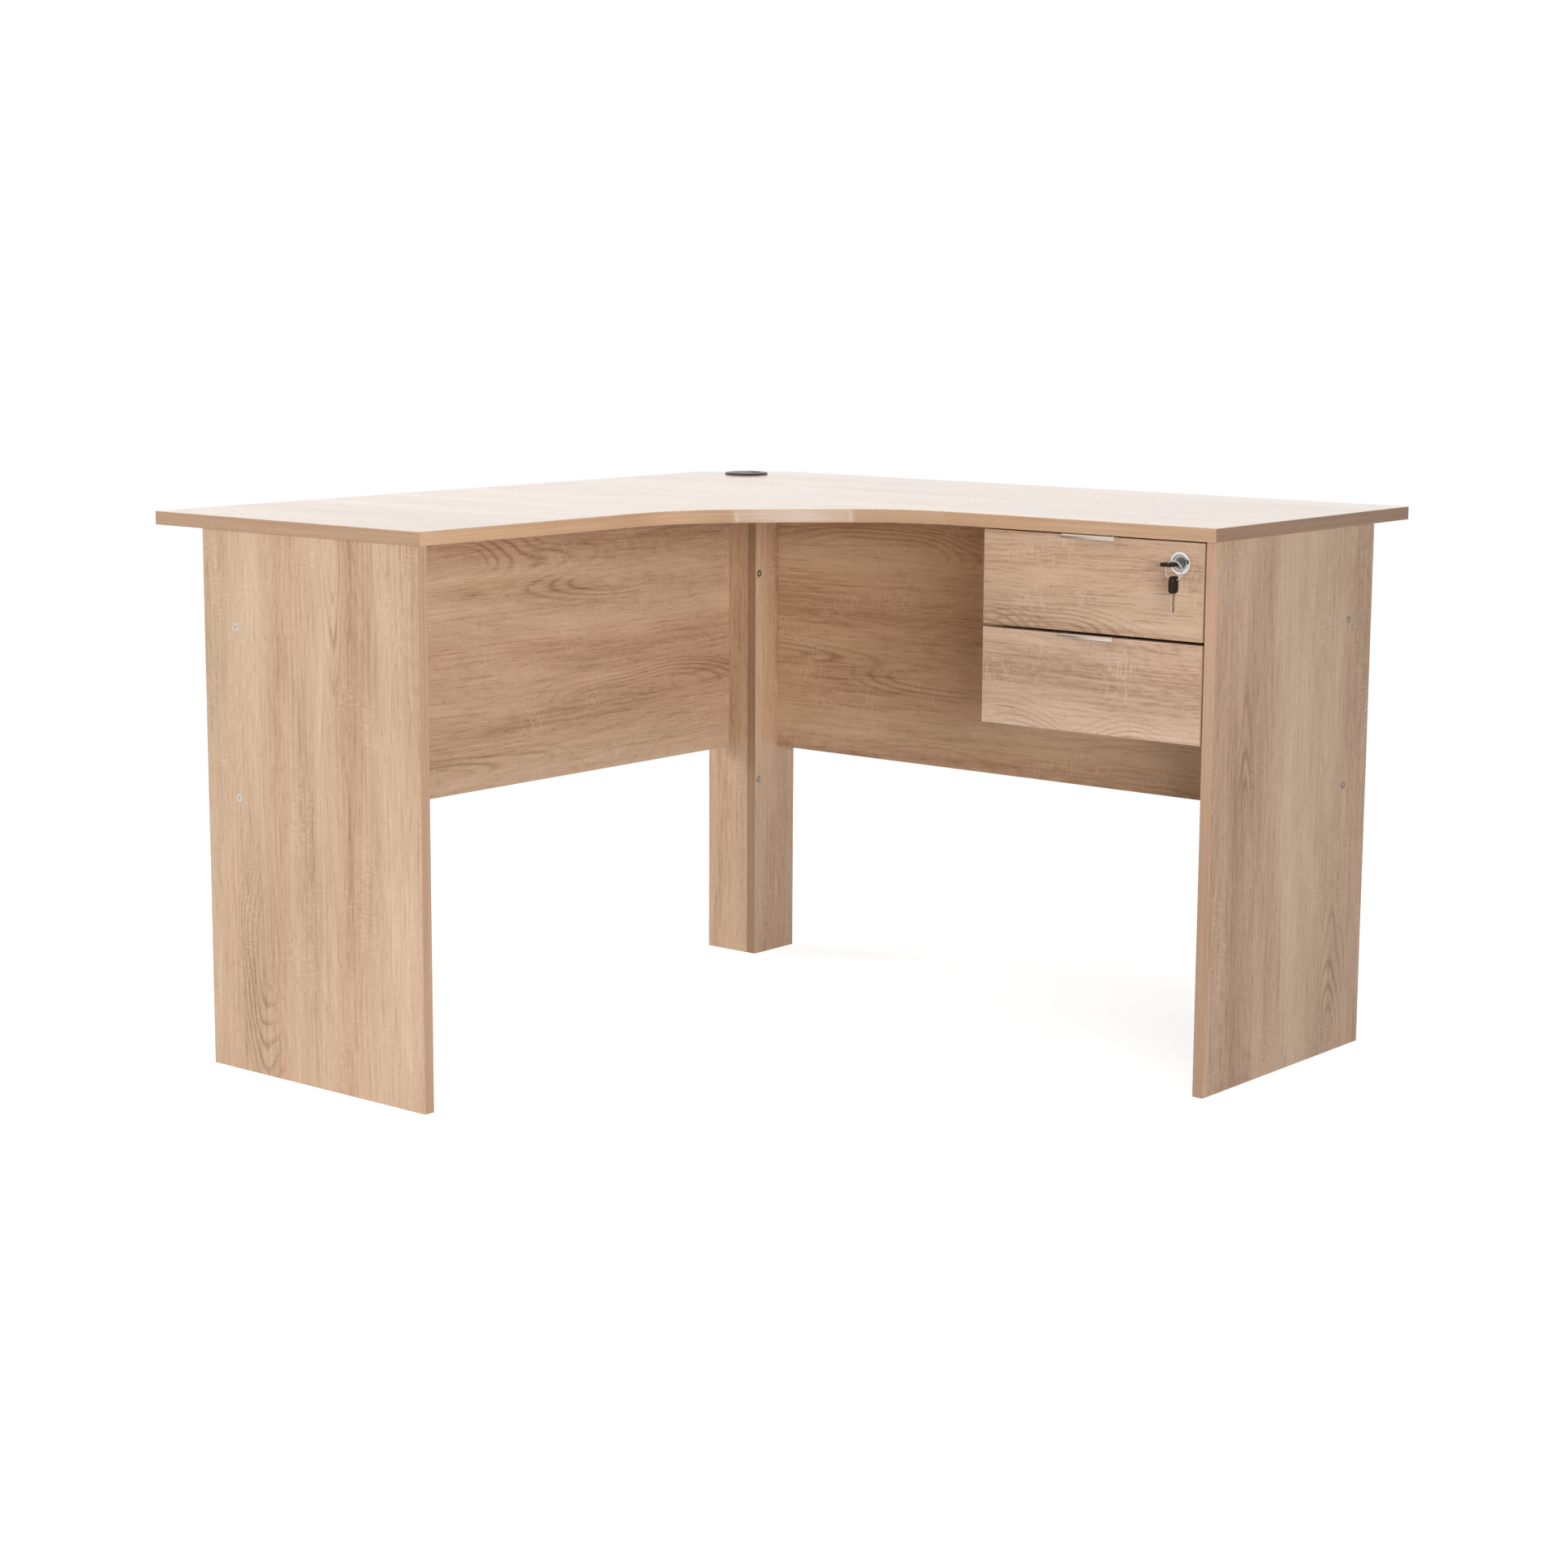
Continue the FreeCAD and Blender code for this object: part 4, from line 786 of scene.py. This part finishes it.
bpy.ops.mesh.bevel(offset=keyShape["soft"], segments=4, affect="EDGES")
pickFaces(bow, lambda centre, normal: abs(normal.z) > 0.99)
for wide, deep in keyShape["thumb"]:
    bpy.ops.mesh.inset(thickness=wide * mm, depth=deep * mm)
slotX, slotY = keyShape["slotLong"] / 2, keyShape["slotWide"] / 2
slotMiddle = keyShape["bowLong"] - keyShape["slotFrom"]
slotRim = rounded([((x * slotX, slotMiddle + y * slotY, -5 * mm), slotY * keyShape["slotEase"])
                   for x, y in ((1, -1), (1, 1), (-1, 1), (-1, -1))], steps=6)
cutAway(bow, slab(slotRim, Vector((0, 0, 10 * mm))))
smooth(bow, degrees=40)
bladeRim = [Vector((x * mm, y * mm, -keyShape["bladeThick"] / 2)) for x, y in keyShape["cuts"]]
blade = slab(bladeRim, Vector((0, 0, keyShape["bladeThick"])))
for face in (-1, 1):  # a milled groove down each face
    deselectAll()
    bpy.ops.mesh.primitive_cube_add(
        size=1, location=(*keyShape["grooveAt"], face * keyShape["bladeThick"] / 2),
        scale=keyShape["groove"])
    cutAway(blade, settle(bpy.context.object))
keyPlaces = {  # local x, y (towards the bow's far end) and z in the part's frame
    "key": Matrix(((-1, 0, 0, 544 * mm), (0, -1, 0, 91 * mm), (0, 0, 1, 688 * mm), (0, 0, 0, 1))),
    "spare_key": Matrix(((0, 0, 1, 0), (1, 0, 0, 0), (0, 1, 0, 0), (0, 0, 0, 1))),
}
spareLow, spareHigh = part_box("spare_key_bow")
spareMiddle = (spareLow + spareHigh) / 2
keyPlaces["spare_key"].translation = Vector((spareMiddle.x, spareMiddle.y, spareLow.z))
for body, place in keyPlaces.items():
    hand(copyOf(bow, place), body + "Bow", body, "black_plastic", looks["bow"], body + "_bow")
    hand(copyOf(blade, place), body + "Blade", body, "nickel_steel", looks["nickel"],
         body + "_blade")
for pattern in (bow, blade):
    discard(pattern)
print("keys made")


# key ring: flat wire wound twice
ringShape = {"radius": 12 * mm, "wireTall": 0.8 * mm, "wireFlat": 0.28 * mm, "pitch": 1.1 * mm,
             "sides": 14, "turns": 2, "steps": 160}
ringLow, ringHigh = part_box("key_ring")
deselectAll()
bpy.ops.mesh.primitive_circle_add(vertices=ringShape["sides"], radius=1, fill_type="NOTHING",
                                  location=(ringLow + ringHigh) / 2)
ring = bpy.context.object
edit(ring)
bpy.ops.transform.resize(value=(ringShape["wireTall"], ringShape["wireFlat"], 1))
bpy.ops.transform.translate(value=(ringShape["radius"], -ringShape["pitch"] / 2, 0))
choose(ring)
wound = ring.modifiers.new("wound", "SCREW")
wound.axis = "Y"
wound.angle = ringShape["turns"] * 2 * math.pi
wound.screw_offset = ringShape["pitch"]
wound.steps = ringShape["steps"]
wound.render_steps = ringShape["steps"]
applyAll(ring)
edit(ring, "EDGE")
bpy.ops.mesh.select_all(action="DESELECT")
bpy.ops.mesh.select_non_manifold()
bpy.ops.mesh.edge_face_add()  # the wire's two ends
bpy.ops.mesh.select_all(action="SELECT")
bpy.ops.mesh.normals_make_consistent(inside=False)
smooth(ring, degrees=50)
hand(ring, "splitRing", "key_ring", "chrome", looks["ring"], "key_ring")
print("ring made")


# grommet: a flanged sleeve and a dished cap with a cable notch
grommetShape = {
    "x": -505 * mm, "y": 505 * mm, "floor": 735 * mm,
    "notchWide": 20 * mm, "notchDeep": 14 * mm, "notchRound": 4 * mm, "capRadius": 27.85 * mm,
    # radius and height over the floor, and the corner's rounding, in mm
    "liner": [((28.15, -16), 0), ((29.95, -16), 0), ((29.95, 0), 0), ((33.5, 0), 0),
              ((33.5, 3), 1.7), ((28.15, 3), 0.5), ((28.15, 0.8), 0), ((26.15, 0.8), 0),
              ((26.15, 0), 0), ((28.15, 0), 0)],
    "cap": [((0, 0.8), 0), ((27.85, 0.8), 0), ((27.85, 3), 0.7), ((24.6, 3), 0.4),
            ((24.0, 2.5), 0.4), ((0, 2.5), 0)],
}


def grommetPiece(section):
    path = rounded([((grommetShape["x"] + r * mm, grommetShape["y"],
                      grommetShape["floor"] + z * mm), bend * mm)
                    for (r, z), bend in section], steps=5)
    return turned(path, (grommetShape["x"], grommetShape["y"], 0), (0, 0, 1), steps=96)


liner = grommetPiece(grommetShape["liner"])
smooth(liner)
hand(liner, "grommetSleeve", "desk", "dark_plastic", looks["grommet"], "grommet_liner")
cap = grommetPiece(grommetShape["cap"])
notchIn = grommetShape["capRadius"] - grommetShape["notchDeep"]
notchOut = 40 * mm  # past the cap's rim
side = grommetShape["notchWide"] / 2
notchRim = rounded([
    ((grommetShape["x"] + x, grommetShape["y"] + y, grommetShape["floor"] - 5 * mm), bend)
    for x, y, bend in ((-side, notchIn, grommetShape["notchRound"]),
                       (side, notchIn, grommetShape["notchRound"]),
                       (side, notchOut, 0), (-side, notchOut, 0))], steps=6)
cutAway(cap, slab(notchRim, Vector((0, 0, 20 * mm))))
smooth(cap)
hand(cap, "grommetCover", "grommet_cap", "dark_plastic", looks["grommet"], "grommet_cap")
print("grommet made")


# the CAD nodes that stay get their finishes
drawers = ("upper_drawer_", "lower_drawer_")
finishes = {
    "beech": [name + part for name in drawers for part in ("left_side", "right_side", "back")],
    "hardboard": [name + "bottom" for name in drawers],
    "dowel": [name + "dowels" for name in drawers],
    "zinc": ["top_angles", "short_screws", "lock_strike", "lock_nut", "lock_cam", "lock_cam_screw"]
            + [name + part for name in drawers for part in ("screws", "short_screws")],
    "powder": [name for name in nodes if name.endswith("runner")],
    "nylon": [name for name in nodes if name.endswith("roller")],
    # the lock plug's dark nickel is painted dark reflection
    "plug": ["lock_plug"],
}
for finish, names in finishes.items():
    for name in names:
        nodes[name].data.materials.clear()
        nodes[name].data.materials.append(looks[finish])
print("finishes given:", sum(len(names) for names in finishes.values()), "nodes")


# studio: white surroundings, soft lamps, pale floor that keeps the shadow
studio = {"ambient": 0.03, "floor": (0.80, 0.75, 0.69), "floorSize": 60, "floorAt": -0.2 * mm,
          "glow": 0.86, "shadowShare": 0.42, "plainFrom": 1.3, "plainTo": 2.6,
          "white": (1, 1, 1, 1)}
lamps = {  # place, aim, size across and up, watts, colour
    "key": ((-1.6, -5.2, 2.9), (0.0, -0.2, 0.4), 2.6, 2.2, 45.0, (1, 1, 1)),
    "left": ((-4.5, -1.5, 2.5), (0.0, 0.0, 0.4), 2.4, 2.0, 160.0, (1, 1, 1)),
    "seat": ((3.6, -2.9, 1.1), (0.0, 0.0, 0.4), 1.7, 1.2, 132.0, (1, 1, 1)),
    "overhead": ((0.2, 0.0, 4.2), (0.0, 0.0, 0.7), 3.0, 3.0, 68.0, (1, 1, 1)),
    "glint": ((2.4905, -2.0185, 0.476), (0.0, 0.0, 0.726), 0.08, 0.08, 0.85, (0.70, 0.90, 1.0)),
}


def seenBy(sheet):  # 1 for what the camera, mirrors and glass see, 0 for light on the object
    path = sheet.make("ShaderNodeLightPath", {}, {}, "Is Camera Ray")
    return path.most(path.side("Is Glossy Ray")).most(path.side("Is Transmission Ray"))


def mixed(sheet, share, first, second):
    return sheet.make("ShaderNodeMixShader", {}, {0: share, 1: first, 2: second})


world = bpy.data.worlds.new("studio")
scene.world = world
world.use_nodes = True
world.node_tree.nodes.clear()
air = Wire(world.node_tree)
dim, bright = (air.make("ShaderNodeBackground", {}, {"Color": studio["white"], "Strength": power})
               for power in (studio["ambient"], 1.0))
air.make("ShaderNodeOutputWorld", {}, {"Surface": mixed(air, seenBy(air), dim, bright)})

deselectAll()
bpy.ops.mesh.primitive_plane_add(size=studio["floorSize"], location=(0, 0, studio["floorAt"]))
floor = settle(bpy.context.object, "paleFloor")
floorLook, sheet, place = newLook("paleFloor")
plain = sheet.make("ShaderNodeBsdfDiffuse", {}, {"Color": (*studio["floor"], 1)})
share = studio["shadowShare"]
lit = sheet.make("ShaderNodeBsdfDiffuse", {}, {"Color": (share, share, share, 1)})
glow, white = (sheet.make("ShaderNodeEmission", {}, {"Color": studio["white"], "Strength": power})
               for power in (studio["glow"], 1.0))
lit = sheet.make("ShaderNodeAddShader", {}, {0: lit, 1: glow})
away = sheet.vector("LENGTH", place, (0, 0, 0), "Value")
away = away.step(studio["plainFrom"], studio["plainTo"])  # far off the floor is plain white
lit = mixed(sheet, away, lit, white)
sheet.make("ShaderNodeOutputMaterial", {}, {"Surface": mixed(sheet, seenBy(sheet), plain, lit)})
floor.data.materials.append(floorLook)

for name, (place, aim, wide, tall, watts, colour) in lamps.items():
    deselectAll()
    bpy.ops.object.light_add(type="AREA", location=place)
    lamp = bpy.context.object
    lamp.name = name
    lamp.rotation_euler = (Vector(aim) - Vector(place)).to_track_quat("-Z", "Y").to_euler()
    lamp.data.shape = "RECTANGLE"
    lamp.data.size, lamp.data.size_y = wide, tall
    lamp.data.energy = watts
    lamp.data.color = colour
    lamp.visible_glossy = name == "glint"  # it alone is mirrored, in the top's 45 degree front

cameraView = {"place": (2.6096, -3.2174, 1.0495), "heading": (-0.6420, 0.7667), "down": 9.117,
              "roll": 0.179, "lens": 70.57, "sensor": 36, "shift": (0.0253, -0.0120)}
deselectAll()
bpy.ops.object.camera_add(location=cameraView["place"])
camera = bpy.context.object
down = math.radians(cameraView["down"])
level, drop = math.cos(down), math.sin(down)
forward = Vector((cameraView["heading"][0] * level, cameraView["heading"][1] * level, -drop))
turn = forward.to_track_quat("-Z", "Y") @ Quaternion((0, 0, 1), math.radians(cameraView["roll"]))
camera.rotation_euler = turn.to_euler()
camera.data.sensor_width = cameraView["sensor"]
camera.data.lens = cameraView["lens"]
camera.data.shift_x, camera.data.shift_y = cameraView["shift"]
scene.camera = camera
deselectAll()
print("studio set")
